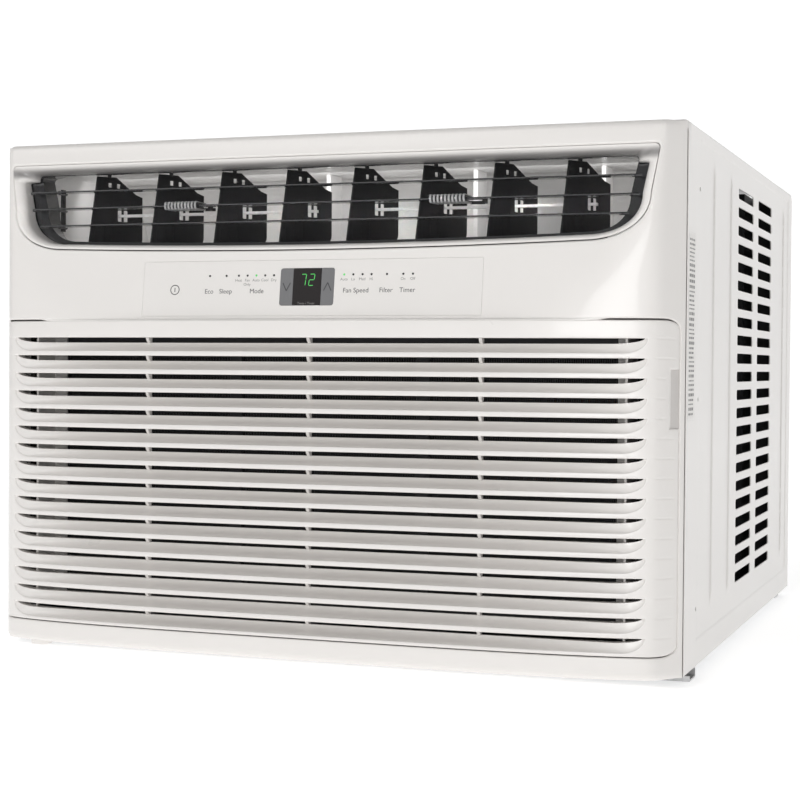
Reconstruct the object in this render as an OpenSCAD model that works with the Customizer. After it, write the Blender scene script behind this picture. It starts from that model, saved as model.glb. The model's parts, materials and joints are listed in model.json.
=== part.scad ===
// Window air conditioner with a slide-out chassis.
// +X is to the right of a person facing the unit, +Y points outdoors, +Z is up.
// The origin is on the floor plane, midway between the sides and between front and back.

/* [Cabinet] */
// Width of the sheet-metal cabinet
cab_w = 666; // [560:1:800]
// Depth of the cabinet behind the front panel
cab_d = 666; // [560:1:800]
// Height of the cabinet
cab_h = 473; // [473:1:570]
// Thickness of the cabinet sheet
sheet_t = 1.5; // [1:0.1:3]
// Height of the support rails under the cabinet
foot_h = 10; // [6:0.5:20]

/* [Side vents] */
// Rows of slots on each side
slot_rows = 22; // [10:1:24]
// Length of one slot
slot_w = 99; // [60:1:110]
// Height of one slot
slot_h = 10; // [6:0.5:13]
// Corner radius of a slot
slot_r = 3; // [1:0.5:3]
// Rise from one slot to the next
slot_pitch = 18.2; // [15:0.1:18.5]
// Distance from the seam to the first column of slots
slot_start = 271; // [240:1:300]
// Distance between the two columns
slot_col_pitch = 132; // [115:1:150]
// Height of the lowest slot above the cabinet's bottom
slot_base = 49; // [40:1:60]

/* [Side fixing holes] */
// Radius of each fixing hole
fix_r = 2.1; // [1.5:0.1:3]
// Height between two fixing holes
fix_pitch = 184; // [150:1:190]
// Height of the lowest fixing hole above the cabinet's bottom
fix_base = 51; // [40:1:60]
// Distance from the seam to the fixing holes
fix_back = 53; // [45:1:80]

/* [Front panel] */
// Depth of the front panel
panel_d = 50; // [45:1:70]
// Wall of the front panel
panel_t = 3; // [2:0.1:4]
// Gap between the front panel and the cabinet
seam_gap = 1.5; // [0.5:0.1:3]
// Roundness exponent of the front panel in plan
plan_power = 3.2; // [2.5:0.1:5]
// Lean of the control face from vertical, in degrees
lean = 7.4; // [4:0.1:10]
// Step back of the control face behind the grille
face_step = 6; // [4:0.5:8]
// Height of the bottom strip
strip_h = 18; // [14:0.5:24]

/* [Intake grille] */
// Height of the grille's top edge above the cabinet's bottom
split_h = 303.8; // [300:0.1:304]
// Gap around the grille
grille_gap = 1.4; // [1.2:0.1:2.5]
// Depth of one slat
slat_depth = 19; // [14:0.5:22]
// Rise from one slat to the next
slat_pitch = 16.8; // [14:0.1:20]
// Height of the slot between two slats
slat_gap = 4.7; // [4.2:0.1:7]
// Height of a slat's front band
slat_band = 4.5; // [3:0.1:6]
// Half length of the open rows
row_half = 300; // [200:1:303]

/* [Air outlet] */
// Height of the outlet's top edge above the cabinet's bottom
outlet_top = 451; // [446:0.5:452]
// Height of the outlet's bottom edge above the cabinet's bottom
outlet_bottom = 366; // [362:0.5:370]
// Half width of the outlet along its top edge
outlet_half = 313; // [280:0.5:315]
// Width of the bezel at its sides
bezel_side = 22; // [14:0.5:26]
// Width of the bezel at its top and bottom
bezel_band = 9; // [7:0.5:11]
// Number of horizontal louvres
louver_count = 3; // [3:1:3]
// Depth of a louvre
louver_depth = 16; // [10:0.5:18]
// Thickness of a louvre or vane
blade_t = 2; // [1.5:0.1:3]
// Rise from one louvre to the next
louver_pitch = 16; // [13:0.5:18]
// Angle by which the vanes point left at rest
vane_rest = 35; // [20:1:38]
// Length of a vane behind its pivot
vane_back = 35; // [28:0.5:37]
// Length of a vane before its pivot, at the bottom
vane_front = 22; // [16:0.5:24]
// Radius from a vane's pivot to its link pin
link_r = 14; // [10:0.5:18]
// Running clearance of the small pins
pin_clear = 0.05; // [0.02:0.01:0.1]

/* [Controls] */
// Half width of the control film
film_half = 163.5; // [150:0.5:175]
// Height of the control film along the face
film_h = 50.4; // [40:0.5:51]
// Thickness of the control film and the keys
film_t = 2; // [1.5:0.1:2.5]
// Gap around a key
key_gap = 0.35; // [0.3:0.05:0.6]
// Travel of a key
key_travel = 0.6; // [0.3:0.05:0.8]
// Depth of the control board behind the face
board_back = 12; // [10.5:0.5:16]

/* [Air system] */
// Distance of the fan axis to the right of the middle
axis_x = 50; // [30:1:70]
// Height of the fan axis above the floor plane
axis_z = 205; // [195:1:212]
// Radius of the blower wheel
wheel_r = 110; // [90:1:118]
// Radius of the condenser fan
fan_r = 175; // [140:1:178]
// Radius of the fan shaft
shaft_r = 6; // [4:0.5:8]
// Radius of the motor
motor_r = 60; // [40:1:65]
// Radius of the compressor
comp_r = 62; // [45:1:68]

/* [Hidden] */
$fn = 48;

WHITE = [0.89, 0.88, 0.86];
BLACK = [0.07, 0.07, 0.08];
DARK = [0.2, 0.2, 0.21];
GREY = [0.55, 0.55, 0.56];
STEEL = [0.72, 0.73, 0.74];
COPPER = [0.72, 0.45, 0.3];

over = 1;                        // how far a cutter runs past a face
bore_fn = 32;                    // facets of small round pins and holes in the preview

// Planes along Y
front_y = -(panel_d + cab_d) / 2;
seam_y = front_y + panel_d;
rear_y = seam_y + cab_d;
panel_back_y = seam_y - seam_gap;
rim_t = 3;
rim_y = seam_y - 8 - rim_t;      // front of the rim that the panel is screwed through
bulkhead_t = 1.5;
bulkhead_y = seam_y + 218;
shroud_y = bulkhead_y + 295;     // front of the shroud plate
coil_t = 44;
condenser_y = rear_y - 11 - coil_t;

// Heights
cab_z = foot_h;
cab_top_z = cab_z + cab_h;
cavity_top_z = cab_top_z - sheet_t;
panel_bottom_z = cab_z - 0.8;
split_z = cab_z + split_h;
strip_z = cab_z + strip_h;
pan_gap = 0.5;
pan_t = 1.2;
pan_z = max(cab_z + sheet_t, panel_bottom_z + panel_t) + pan_gap;
pan_top_z = pan_z + pan_t;

// The leaning control face
face_slope = tan(lean);
face_y0 = front_y + face_step;
function face_y(z) = face_y0 + (z - split_z) * face_slope;
film_z = split_z + 27.7;         // middle of the control film

// Side vents
slot_cols = [0, 1];

// Outlet
outlet_top_z = cab_z + outlet_top;
outlet_bottom_z = cab_z + outlet_bottom;
corner_drop = 41;                // from the top edge down to where the corner curve starts
corner_in = 6.3;                 // how far the sides lean in by then
corner_w = 57;                   // width of the corner curve
corner_power = 2.2;
belly = 4;                       // how far the bottom edge dips in the middle
bezel_back_y = seam_y - 4;
duct_t = 2;
duct_half = outlet_half - bezel_side + 1;
vane_count = 8;
vane_side = 25.2;                // duct width beside the outer vanes' shares
vane_pitch = 2 * (duct_half - vane_side) / vane_count;
duct_floor_z = outlet_bottom_z + bezel_band - 2;
duct_roof_z = outlet_top_z - bezel_band + 4;
louver_y = front_y + 32;
louver_mid_z = (outlet_top_z + outlet_bottom_z) / 2 + 0.5;
louver_pin_r = 1.5;
louver_pin_len = 7;
louver_tilt = 25;                // how far a louvre turns each way
link_arm = 12;                   // from a louvre's pivot back to its link pin
link_x = -duct_half + 22;
link_t = 2.5;
vane_y = seam_y + 20;
vane_pin_r = 2;
vane_gap = 3;                    // clear height above and below a vane
vane_z0 = duct_floor_z + vane_gap;
vane_z1 = duct_roof_z - vane_gap;
vane_lean = 9;                   // how far a vane's front edge leans forward at the bottom
window_h = 11;                   // window in a vane that the link bar passes through
window_w = 11;
link_pin_r = 1.4;
link_bar_w = 5;
grip_len = 34;
grip_h = 7;
grip_d = 16;
grip_wall = 2.1;
grip_x_left = -132.3;
grip_x_right = 126.8;
peg_offset = -12;                // from a driven vane's pivot to the grip's peg

// Keys: name, place across the face, width, place along the face, height
label_dz = -2.9;
key_h = 9;
block_half = 26;                 // half width of the display block
lens_half = 13.4;
block_h = 33.7;
block_dz = 0.9;
led_dz = 11.6;
led_r = 1.1;
led_x = [-96.3, -79.7, -67.4, -58.7, -50, -41.4, -32.7, 35.2, 43.8, 52.5, 61, 75.4, 90.7, 99.6];
window_half = film_half - 5;
board_t = 1.6;
board_half = film_half + 7;
switch_r = 2.5;
switch_gap = 0.9;                // clear space between a key's stem and its switch
switch_len = 3;

// Grille
grille_half = cab_w / 2 - 5;
grille_z0 = strip_z + grille_gap;
grille_z1 = split_z - grille_gap;
grille_r = 9;
grille_back_y = front_y + 37;
rib_w = 3;
rib_pitch = row_half * 0.537;
bay_edges = [-row_half, -rib_pitch, 0, rib_pitch, row_half];
hinge_y = front_y + 2;           // axis on which the grille tilts open
hinge_z = grille_z0 + 3;
slat_rows = floor((grille_z1 - grille_z0 - slat_band) / slat_pitch);
notch_z = cab_z + 211;
notch_h = 50;
filter_y = seam_y + 10;
filter_t = 6;
filter_half = row_half - 16;
filter_z0 = cab_z + 32;
filter_z1 = cab_z + 290;
filter_rim = 12;
rail_t = 2;
rail_gap = 1;

// Chassis
pan_half = cab_w / 2 - 8;
pan_back_y = rear_y - 6;
pan_lip = 26;
bracket_half = [row_half + 3, pan_half];
wheel_len = 92;
wheel_y = bulkhead_y - 16 - wheel_len;
scroll_t = 2;
scroll_y = wheel_y - 22;
scroll_r0 = wheel_r + 12;
scroll_grow = 36;
tongue_a = 60;
chute_x0 = axis_x + scroll_r0 * cos(tongue_a);
chute_x1 = axis_x + scroll_r0 + scroll_grow;
fan_len = 46;
fan_y = shroud_y - fan_len;
motor_len = 92;
motor_y = bulkhead_y + bulkhead_t + 8;
comp_x = -cab_w / 2 + 98;
comp_y = bulkhead_y + 110;
comp_h = 250;
mount_h = 22;
pipe_r = 4.8;

// ---------------------------------------------------------------- helpers

// One quarter or more of a circle as points
function arc(cx, cy, r, from, to, steps) =
    [for (i = [0 : steps]) let (a = from + (to - from) * i / steps) [cx + r * cos(a), cy + r * sin(a)]];

// Outline of a rectangle with rounded corners, centred
function rounded(w, h, r) = concat(
    arc(w / 2 - r, h / 2 - r, r, 0, 90, 4), arc(-w / 2 + r, h / 2 - r, r, 90, 180, 4),
    arc(-w / 2 + r, -h / 2 + r, r, 180, 270, 4), arc(w / 2 - r, -h / 2 + r, r, 270, 360, 4));

// Half superellipse that bulges to -Y from the seam: half width a, depth b
function plan_curve(a, b, steps = 36) = [for (i = [0 : steps]) let (t = 180 * i / steps)
    [a * sign(cos(t)) * pow(abs(cos(t)), 2 / plan_power), seam_y - b * pow(sin(t), 2 / plan_power)]];

// Extrude a YZ outline along X, an XZ outline along Y
module along_x(x0, x1) { translate([x0, 0, 0]) rotate([90, 0, 90]) linear_extrude(x1 - x0) children(); }
module along_y(y0, y1) { translate([0, y1, 0]) rotate([90, 0, 0]) linear_extrude(y1 - y0) children(); }

// Box from one corner to the other
module block(from, to) { translate(from) cube(to - from); }

// Round bar between two heights, or along X or Y
module bar_z(x, y, z0, z1, r) { translate([x, y, z0]) cylinder(h = z1 - z0, r = r, $fn = bore_fn); }
module bar_x(x0, x1, y, z, r) {
    translate([x0, y, z]) rotate([0, 90, 0]) cylinder(h = x1 - x0, r = r, $fn = bore_fn);
}
module bar_y(x, z, y0, y1, r) {
    translate([x, y1, z]) rotate([90, 0, 0]) cylinder(h = y1 - y0, r = r, $fn = bore_fn);
}

// Ring along Y
module ring_y(x, z, y0, y1, r_out, r_in) {
    difference() {
        bar_y(x, z, y0, y1, r_out);
        bar_y(x, z, y0 - over, y1 + over, r_in);
    }
}

// Pipe along straight runs, with a soldered ball at each turn
module pipe(points, r) {
    for (i = [0 : len(points) - 2]) {
        run = points[i + 1] - points[i];
        flat_len = norm([run.x, run.y]);
        translate(points[i]) rotate([0, atan2(flat_len, run.z), atan2(run.y, run.x)])
            cylinder(h = norm(run), r = r, $fn = bore_fn);
    }
    for (i = [1 : len(points) - 2])
        translate(points[i]) sphere(r = r * 1.2, $fn = bore_fn);
}

// Local frame of the leaning face: X across, Y inwards, Z up along the face
module on_face() { translate([0, face_y(film_z), film_z]) rotate([-lean, 0, 0]) children(); }

// ---------------------------------------------------------------- cabinet

module side_slots() {
    for (c = slot_cols, r = [0 : slot_rows - 1])
        translate([seam_y + slot_start + c * slot_col_pitch + slot_w / 2,
            cab_z + slot_base + r * slot_pitch + slot_h / 2]) polygon(rounded(slot_w, slot_h, slot_r));
}

module cabinet_side() {
    difference() {
        along_x(cab_w / 2 - sheet_t, cab_w / 2) difference() {
            translate([seam_y, cab_z]) square([cab_d, cab_h]);
            side_slots();
        }
        for (i = [0 : 2])
            bar_x(cab_w / 2 - sheet_t - over, cab_w / 2 + over, seam_y + fix_back,
                cab_z + fix_base + i * fix_pitch, fix_r);
    }
}

module cabinet_right() { color(WHITE) cabinet_side(); }
module cabinet_left() { color(WHITE) mirror([1, 0, 0]) cabinet_side(); }

module cabinet_top() {
    color(WHITE)
        block([-cab_w / 2 + sheet_t, seam_y, cavity_top_z], [cab_w / 2 - sheet_t, rear_y, cab_top_z]);
}

module cabinet_floor() {
    color(GREY) block([-cab_w / 2 + sheet_t, seam_y, cab_z], [cab_w / 2 - sheet_t, rear_y, cab_z + sheet_t]);
}

channel_w = 27;
channel_t = 1.6;
channel_y = seam_y + 32;
channel_end = 1;
channel_lip = 6;
module sill_channel() {
    color(STEEL) along_x(-cab_w / 2 + channel_end, cab_w / 2 - channel_end) translate([channel_y, 0]) polygon([
        [0, 0], [channel_w, 0], [channel_w, foot_h], [channel_w - channel_lip, foot_h],
        [channel_w - channel_lip, foot_h - channel_t], [channel_w - channel_t, foot_h - channel_t],
        [channel_w - channel_t, channel_t], [channel_t, channel_t],
        [channel_t, foot_h / 2], [0, foot_h / 2]]);
}

rail_w = 24;
rail_inset = 9;
rail_rear = 16;
module rear_rail() {
    color(STEEL) along_x(-cab_w / 2 + rail_inset, cab_w / 2 - rail_inset)
        translate([rear_y - rail_w - rail_rear, 0]) difference() {
            square([rail_w, foot_h]);
            translate([channel_t, channel_t]) square([rail_w - 2 * channel_t, foot_h]);
        }
}

// ---------------------------------------------------------------- front panel

panel_top_front_z = cab_top_z - 4;
panel_top_back_z = cab_top_z - 1;
panel_top_r = 8;
function side_profile(inset, back) = let (
    top_y = face_y(panel_top_front_z), r = panel_top_r - inset) concat(
    [[back, panel_bottom_z + inset], [front_y - over, panel_bottom_z + inset],
        [front_y - over, split_z - inset], [face_y0 + inset, split_z - inset]],
    arc(top_y + inset + r, panel_top_front_z - inset - r, r, 180, 90, 6),
    [[back, panel_top_back_z - inset]]);

module panel_solid(inset, back) {
    intersection() {
        translate([0, 0, panel_bottom_z]) linear_extrude(cab_top_z) polygon(concat(
            plan_curve(cab_w / 2 - inset, panel_d - inset),
            [[-cab_w / 2 + inset, back], [cab_w / 2 - inset, back]]));
        along_x(-cab_w, cab_w) polygon(side_profile(inset, back));
    }
}

// Outlet outline in XZ, shrunk by side (across) and band (up and down)
outlet_chamfer = 2.5;
function outlet_right(side, band) = let (
    top = outlet_top_z - band, half = outlet_half - side,
    cx = outlet_half - corner_in - corner_w, low = outlet_bottom_z + belly + band,
    cz = outlet_top_z - corner_drop, w = corner_w - side, h = cz - low) concat(
    [[half - outlet_chamfer, top], [half, top - outlet_chamfer]],
    [for (i = [0 : 10]) let (t = 90 * i / 10)
        [cx + w * pow(cos(t), 2 / corner_power), cz - h * pow(sin(t), 2 / corner_power)]]);
function mirrored(points) = [for (i = [len(points) - 1 : -1 : 0]) [-points[i].x, points[i].y]];
module outlet_shape(side, band) {
    right = outlet_right(side, band);
    polygon(concat(right, [[0, outlet_bottom_z + band]], mirrored(right)));
}

// Half width of the bezel's inside at a height
function inner_half(z) = let (
    cz = outlet_top_z - corner_drop, h = cz - outlet_bottom_z - belly - bezel_band,
    drop = max(0, min(1, (cz - z) / h)), rise = max(0, (z - cz) / corner_drop),
    swell = pow(1 - pow(drop, corner_power), 1 / corner_power))
    outlet_half - corner_in - corner_w + (corner_w - bezel_side) * swell + corner_in * min(1, rise);

screw_r = 2;
screw_x = (row_half + grille_half) / 2;
screw_z = [cab_z + 50, cab_z + 270];
screw_len = 9;
screw_head = 1.5;
module at_screws() { for (x = [-screw_x, screw_x], z = screw_z) translate([x, 0, z]) children(); }

gland_x = -280;
gland_y = seam_y - 24;
gland_r = 7;

post_r = 3;
post_z = 16;
post_out = 3;
film_gap = 0.2;
outlet_gap = 0.2;
window_edge = 3;
screw_clear = 0.4;
recess_wall = 2;
// Space that the grille sits in, grown by a wall
module recess(grow, y0, y1) {
    along_y(y0, y1) translate([0, (strip_z + split_z) / 2]) polygon(rounded(
        2 * (grille_half + grille_gap + grow), split_z - strip_z + (grow > 0 ? 2 * panel_t : 0),
        grow > 0 ? grille_r : grille_r + grille_gap));
}

module front_panel() {
    color(WHITE) difference() {
        union() {
            difference() {
                panel_solid(0, panel_back_y);
                panel_solid(panel_t, panel_back_y + over);
                recess(0, front_y - over, rim_y - over);
                along_y(front_y - over, seam_y) outlet_shape(-outlet_gap, -outlet_gap);
            }
            // Floor and roof of the grille recess, and the rim behind it
            intersection() {
                panel_solid(1, panel_back_y);
                difference() {
                    recess(recess_wall, front_y, rim_y + rim_t);
                    recess(0, front_y - over, rim_y);
                    block([-row_half, front_y, strip_z + recess_wall],
                        [row_half, seam_y, split_z - recess_wall]);
                }
            }
            on_face() for (x = [-1, 1], z = [-1, 1])
                bar_y(x * (film_half + post_out), z * post_z, panel_t / 2, board_back, post_r);
        }
        on_face() {
            block([-film_half - film_gap, -over, -film_h / 2 - film_gap],
                [film_half + film_gap, film_t, film_h / 2 + film_gap]);
            block([-window_half, 0, -film_h / 2 + window_edge],
                [window_half, panel_t + over, film_h / 2 - window_edge]);
        }
        at_screws() bar_y(0, 0, rim_y - over, rim_y + rim_t + over, screw_r + screw_clear);
        bar_z(gland_x, gland_y, panel_bottom_z - over, panel_bottom_z + panel_t + over, gland_r);
    }
}

module panel_screws() {
    color(STEEL) at_screws() {
        bar_y(0, 0, rim_y, rim_y + rim_t + screw_len, screw_r);
        bar_y(0, 0, rim_y - screw_head, rim_y, 2 * screw_r);
    }
}

module cord_gland() {
    color(BLACK) difference() {
        union() {
            bar_z(gland_x, gland_y, panel_bottom_z - 4, panel_bottom_z, gland_r + 3);
            bar_z(gland_x, gland_y, panel_bottom_z, panel_bottom_z + panel_t + 4, gland_r);
        }
        bar_z(gland_x, gland_y, panel_bottom_z - 5, panel_bottom_z + panel_t + 5, gland_r - 2);
    }
}

// ---------------------------------------------------------------- air outlet

louver_z = [for (i = [0 : louver_count - 1]) louver_mid_z + (1 - i) * louver_pitch];

module outlet_bezel() {
    color(DARK) difference() {
        intersection() {
            along_y(front_y, bezel_back_y) difference() {
                outlet_shape(0, 0);
                outlet_shape(bezel_side, bezel_band);
            }
            panel_solid(1, seam_y);
        }
        for (z = louver_z)
            bar_x(-outlet_half, outlet_half, louver_y, z, louver_pin_r + pin_clear);
    }
}

module louver(i) {
    z = louver_z[i];
    sweep = (louver_depth / 2) * sin(louver_tilt) + blade_t;
    half = min(inner_half(z - sweep), inner_half(z + sweep)) - 1;
    color(DARK) union() {
        block([-half, louver_y - louver_depth / 2, z - blade_t / 2],
            [half, louver_y + louver_depth / 2, z + blade_t / 2]);
        bar_x(-half - louver_pin_len, -half + 4, louver_y, z, louver_pin_r);
        bar_x(half - 4, half + louver_pin_len, louver_y, z, louver_pin_r);
        // Ear and pin for the link bar
        block([link_x + link_t, louver_y, z - blade_t],
            [link_x + 2 * link_t, louver_y + link_arm + 2, z + blade_t]);
        bar_x(link_x - 1, link_x + 2 * link_t, louver_y + link_arm, z, louver_pin_r);
    }
}
module louver_top() { louver(0); }
module louver_middle() { louver(1); }
module louver_bottom() { louver(2); }

bar_half = 3;
bar_end = 4;
link_gap = 0.5;
module louver_link() {
    color(BLACK) difference() {
        block([link_x, louver_y + link_arm - bar_half, louver_z[2] - bar_end],
            [link_x + link_t - link_gap, louver_y + link_arm + bar_half, louver_z[0] + bar_end]);
        for (z = louver_z)
            bar_x(link_x - link_t, link_x + 2 * link_t, louver_y + link_arm, z, louver_pin_r + pin_clear);
    }
}

duct_front_y = bezel_back_y;
duct_back_y = bulkhead_y;
chute_y = [scroll_y + 10, bulkhead_y - 8];
duct_low_z = duct_floor_z - duct_t;
duct_high_z = duct_roof_z + duct_t;
function vane_x(i) = (i - (vane_count - 1) / 2) * vane_pitch;

module outlet_duct() {
    color(WHITE) difference() {
        block([-duct_half - duct_t, duct_front_y, duct_low_z], [duct_half + duct_t, duct_back_y, duct_high_z]);
        block([-duct_half, duct_front_y - over, duct_floor_z], [duct_half, duct_back_y + over, duct_roof_z]);
        block([chute_x0, chute_y[0], duct_low_z - over], [chute_x1, chute_y[1], duct_floor_z + over]);
        for (i = [0 : vane_count - 1])
            bar_z(vane_x(i), vane_y, duct_low_z - over, duct_high_z + over, vane_pin_r + pin_clear);
    }
}

link_z = louver_mid_z - 3;
vane_bevel = 8;
vane_slope = 16;
vane_top = 6;
module vane(i) {
    color(BLACK) translate([vane_x(i), vane_y, 0]) rotate([0, 0, -vane_rest]) {
        difference() {
            along_x(-blade_t / 2, blade_t / 2) polygon([
                [-vane_front, vane_z0], [vane_back - vane_bevel, vane_z0], [vane_back, vane_z0 + vane_bevel],
                [vane_back, vane_z1 - vane_slope], [vane_top, vane_z1], [-vane_front + vane_lean, vane_z1]]);
            block([-blade_t, link_r - window_w / 2, link_z - window_h / 2],
                [blade_t, link_r + window_w / 2, link_z + window_h / 2]);
        }
        bar_z(0, 0, vane_z1 - over, duct_high_z, vane_pin_r);
        bar_z(0, 0, duct_low_z, vane_z0 + over, vane_pin_r);
        bar_z(0, link_r, link_z - window_h / 2 - over, link_z + window_h / 2 + over, link_pin_r);
    }
}
module vane_1() { vane(0); }
module vane_2() { vane(1); }
module vane_3() { vane(2); }
module vane_4() { vane(3); }
module vane_5() { vane(4); }
module vane_6() { vane(5); }
module vane_7() { vane(6); }
module vane_8() { vane(7); }

// Bar that joins four vanes, from vane first to vane first + 3
link_dx = link_r * sin(vane_rest);
link_dy = link_r * cos(vane_rest);
link_end = 5;
module vane_link(first) {
    color(DARK) difference() {
        block([vane_x(first) + link_dx - link_end, vane_y + link_dy - link_bar_w / 2, link_z - link_t / 2],
            [vane_x(first + 3) + link_dx + link_end, vane_y + link_dy + link_bar_w / 2, link_z + link_t / 2]);
        for (i = [first : first + 3])
            bar_z(vane_x(i) + link_dx, vane_y + link_dy, link_z - link_t, link_z + link_t,
                link_pin_r + pin_clear);
    }
}
module vane_link_left() { vane_link(0); }
module vane_link_right() { vane_link(4); }

grip_front = 3;
grip_y = louver_y - louver_depth / 2 - grip_front - 0.5;
slot_clear = 0.35;
tail_t = 5;
arm_gap = 0.5;
arm_lap = 4;
peg_r = 2.5;
module grip(x, peg_x) {
    z = louver_mid_z;
    under_z = z - blade_t / 2 - slot_clear;
    tail_y = louver_y + louver_depth / 2 + 1;
    arm_y = tail_y + tail_t - arm_gap;
    color(GREY) difference() {
        block([x - grip_len / 2, grip_y, z - grip_h / 2], [x + grip_len / 2, tail_y + tail_t, z + grip_h / 2]);
        block([x - grip_len, grip_y + grip_front, under_z],
            [x + grip_len, tail_y, z + blade_t / 2 + slot_clear]);
        block([x - grip_len, grip_y + grip_d, z], [x + grip_len, tail_y + 2 * tail_t, z + grip_h]);
        block([x - grip_len, tail_y - over, under_z], [x + grip_len, tail_y + 2 * tail_t, z + grip_h]);
    }
    color(BLACK) {
        block([x + grip_len / 2 - arm_lap, tail_y + arm_gap, z - grip_h / 2], [peg_x, arm_y, under_z]);
        bar_z(peg_x, (tail_y + arm_gap + arm_y) / 2, z - grip_h / 2, z + 1, peg_r);
    }
}
module grip_left() { grip(grip_x_left, vane_x(2) + peg_offset); }
module grip_right() { grip(grip_x_right, vane_x(6) + peg_offset); }

// ---------------------------------------------------------------- controls

lens_gap = 0.1;
module_edge = 1;
board_edge = 3;
module face_plate(x, w, dz, h, grow, y0, y1) {
    block([x - w / 2 - grow, y0, dz - h / 2 - grow], [x + w / 2 + grow, y1, dz + h / 2 + grow]);
}

pad_gap = 0.6;
pad_w = block_half - lens_half - pad_gap;
pad_x = (block_half + lens_half) / 2 + lens_gap;
pad_h = block_h - 2;
power_w = 13;
power_dz = label_dz + 2;
// Each key: name, place across, width, height above the film's centre, height of its pad
key_spec = [
    ["power", -131, power_w, power_dz, power_w],
    ["eco", -96.3, 14, label_dz, key_h],
    ["sleep", -79.7, 15, label_dz, key_h],
    ["mode", -48.9, 16, label_dz, key_h],
    ["temp_down", -pad_x, pad_w, block_dz, pad_h],
    ["temp_up", pad_x, pad_w, block_dz, pad_h],
    ["fan_speed", 46.8, 26, label_dz, key_h],
    ["filter", 75.2, 14, label_dz, key_h],
    ["timer", 95.1, 14, label_dz, key_h]];

module key_pad(k, grow, y0, y1) { face_plate(k[1], k[2], k[3], k[4], grow, y0, y1); }

module control_film() {
    color(WHITE) on_face() difference() {
        block([-film_half, 0, -film_h / 2], [film_half, film_t, film_h / 2]);
        for (k = key_spec) key_pad(k, key_gap, -over, film_t + over);
        face_plate(0, 2 * lens_half, block_dz, block_h, lens_gap, -over, film_t + over);
        for (x = led_x) bar_y(x, led_dz, -over, film_t + over, led_r + lens_gap);
    }
}

module display_lens() {
    color(BLACK) on_face() face_plate(0, 2 * lens_half, block_dz, block_h, 0, 0, film_t);
}

module display_module() {
    color(BLACK) on_face() 
        face_plate(0, 2 * (lens_half - module_edge), block_dz, block_h - 4 * module_edge, 0, film_t, board_back);
}

module control_board() {
    color([0.1, 0.35, 0.2]) on_face() {
        block([-board_half, board_back, -film_h / 2 + board_edge],
            [board_half, board_back + board_t, film_h / 2 - board_edge]);
        for (k = key_spec)
            bar_y(k[1], k[3], board_back - switch_len, board_back + board_t / 2, switch_r);
    }
}

module indicator_lights() {
    color([0.75, 0.8, 0.75]) on_face() for (x = led_x) bar_y(x, led_dz, lens_gap, board_back, led_r);
}

module key(n) {
    color(n == 4 || n == 5 ? GREY : WHITE) on_face() {
        key_pad(key_spec[n], 0, 0, film_t);
        bar_y(key_spec[n][1], key_spec[n][3], film_t / 2, board_back - switch_len - switch_gap, switch_r);
    }
}
module key_power() { key(0); }
module key_eco() { key(1); }
module key_sleep() { key(2); }
module key_mode() { key(3); }
module key_temp_down() { key(4); }
module key_temp_up() { key(5); }
module key_fan_speed() { key(6); }
module key_filter() { key(7); }
module key_timer() { key(8); }

// ---------------------------------------------------------------- grille and filter

nose_t = 3;
last_bay = len(bay_edges) - 2;
module grille_row(r) {
    z = split_z - r * slat_pitch;
    nose_z = z - slat_pitch + slat_band;
    for (b = [0 : last_bay]) {
        x0 = bay_edges[b] + (b == 0 ? 0 : rib_w / 2);
        x1 = bay_edges[b + 1] - (b == last_bay ? 0 : rib_w / 2);
        along_x(x0, x1) polygon([
            [front_y - over, z], [front_y - over, nose_z], [front_y + nose_t, nose_z],
            [front_y + slat_depth, z - slat_gap],
            [grille_back_y + over, z - slat_gap], [grille_back_y + over, z]]);
    }
}

// Depth of the grille's hollow back at a place across
wall_in = 4;
function hollow_y(x) = seam_y - (panel_d - slat_depth)
    * pow(1 - pow(x / (cab_w / 2 - wall_in), plan_power), 1 / plan_power);

// U-shaped rail that the filter slides in, rooted in the grille's back, with a foot that the filter stands on
rail_lip = 8;
rail_root = 1.6;
module filter_rail() {
    x = filter_half + rail_gap;
    x1 = x + rail_t;
    z0 = filter_z0 - rail_gap;
    y0 = filter_y - rail_gap;
    y1 = filter_y + filter_t + rail_gap;
    translate([0, 0, z0]) linear_extrude(filter_z1 - z0) polygon([
        [x, hollow_y(x1) - rail_root], [x1, hollow_y(x1) - rail_root], [x1, y1 + rail_t],
        [x - rail_lip, y1 + rail_t], [x - rail_lip, y1], [x, y1],
        [x, y0], [x - rail_lip, y0], [x - rail_lip, y0 - rail_t], [x, y0 - rail_t]]);
    block([x - rail_lip, y0 - rail_t, z0 - rail_t], [x1, y1 + rail_t, z0]);
}

notch_half = 4;
notch_in = 2;
hinge_clear = 0.4;
module intake_grille() {
    color(WHITE) {
        difference() {
            intersection() {
                translate([0, 0, grille_z0]) linear_extrude(grille_z1 - grille_z0) difference() {
                    polygon(plan_curve(cab_w / 2, panel_d));
                    polygon(concat(plan_curve(cab_w / 2 - wall_in, panel_d - slat_depth),
                        [[-cab_w, seam_y + over], [cab_w, seam_y + over]]));
                }
                along_y(front_y - over, grille_back_y) translate([0, (grille_z0 + grille_z1) / 2])
                    polygon(rounded(2 * grille_half, grille_z1 - grille_z0, grille_r));
                // The top edge follows the arc on which it tilts open
                bar_x(-cab_w, cab_w, hinge_y, hinge_z, grille_z1 - hinge_z + hinge_clear);
            }
            for (r = [1 : slat_rows]) grille_row(r);
            for (s = [-1, 1]) {
                x = s * (grille_half - notch_in);
                block([x - notch_half, front_y, notch_z], [x + notch_half, seam_y, notch_z + notch_h]);
            }
        }
        filter_rail();
        mirror([1, 0, 0]) filter_rail();
    }
}

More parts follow.
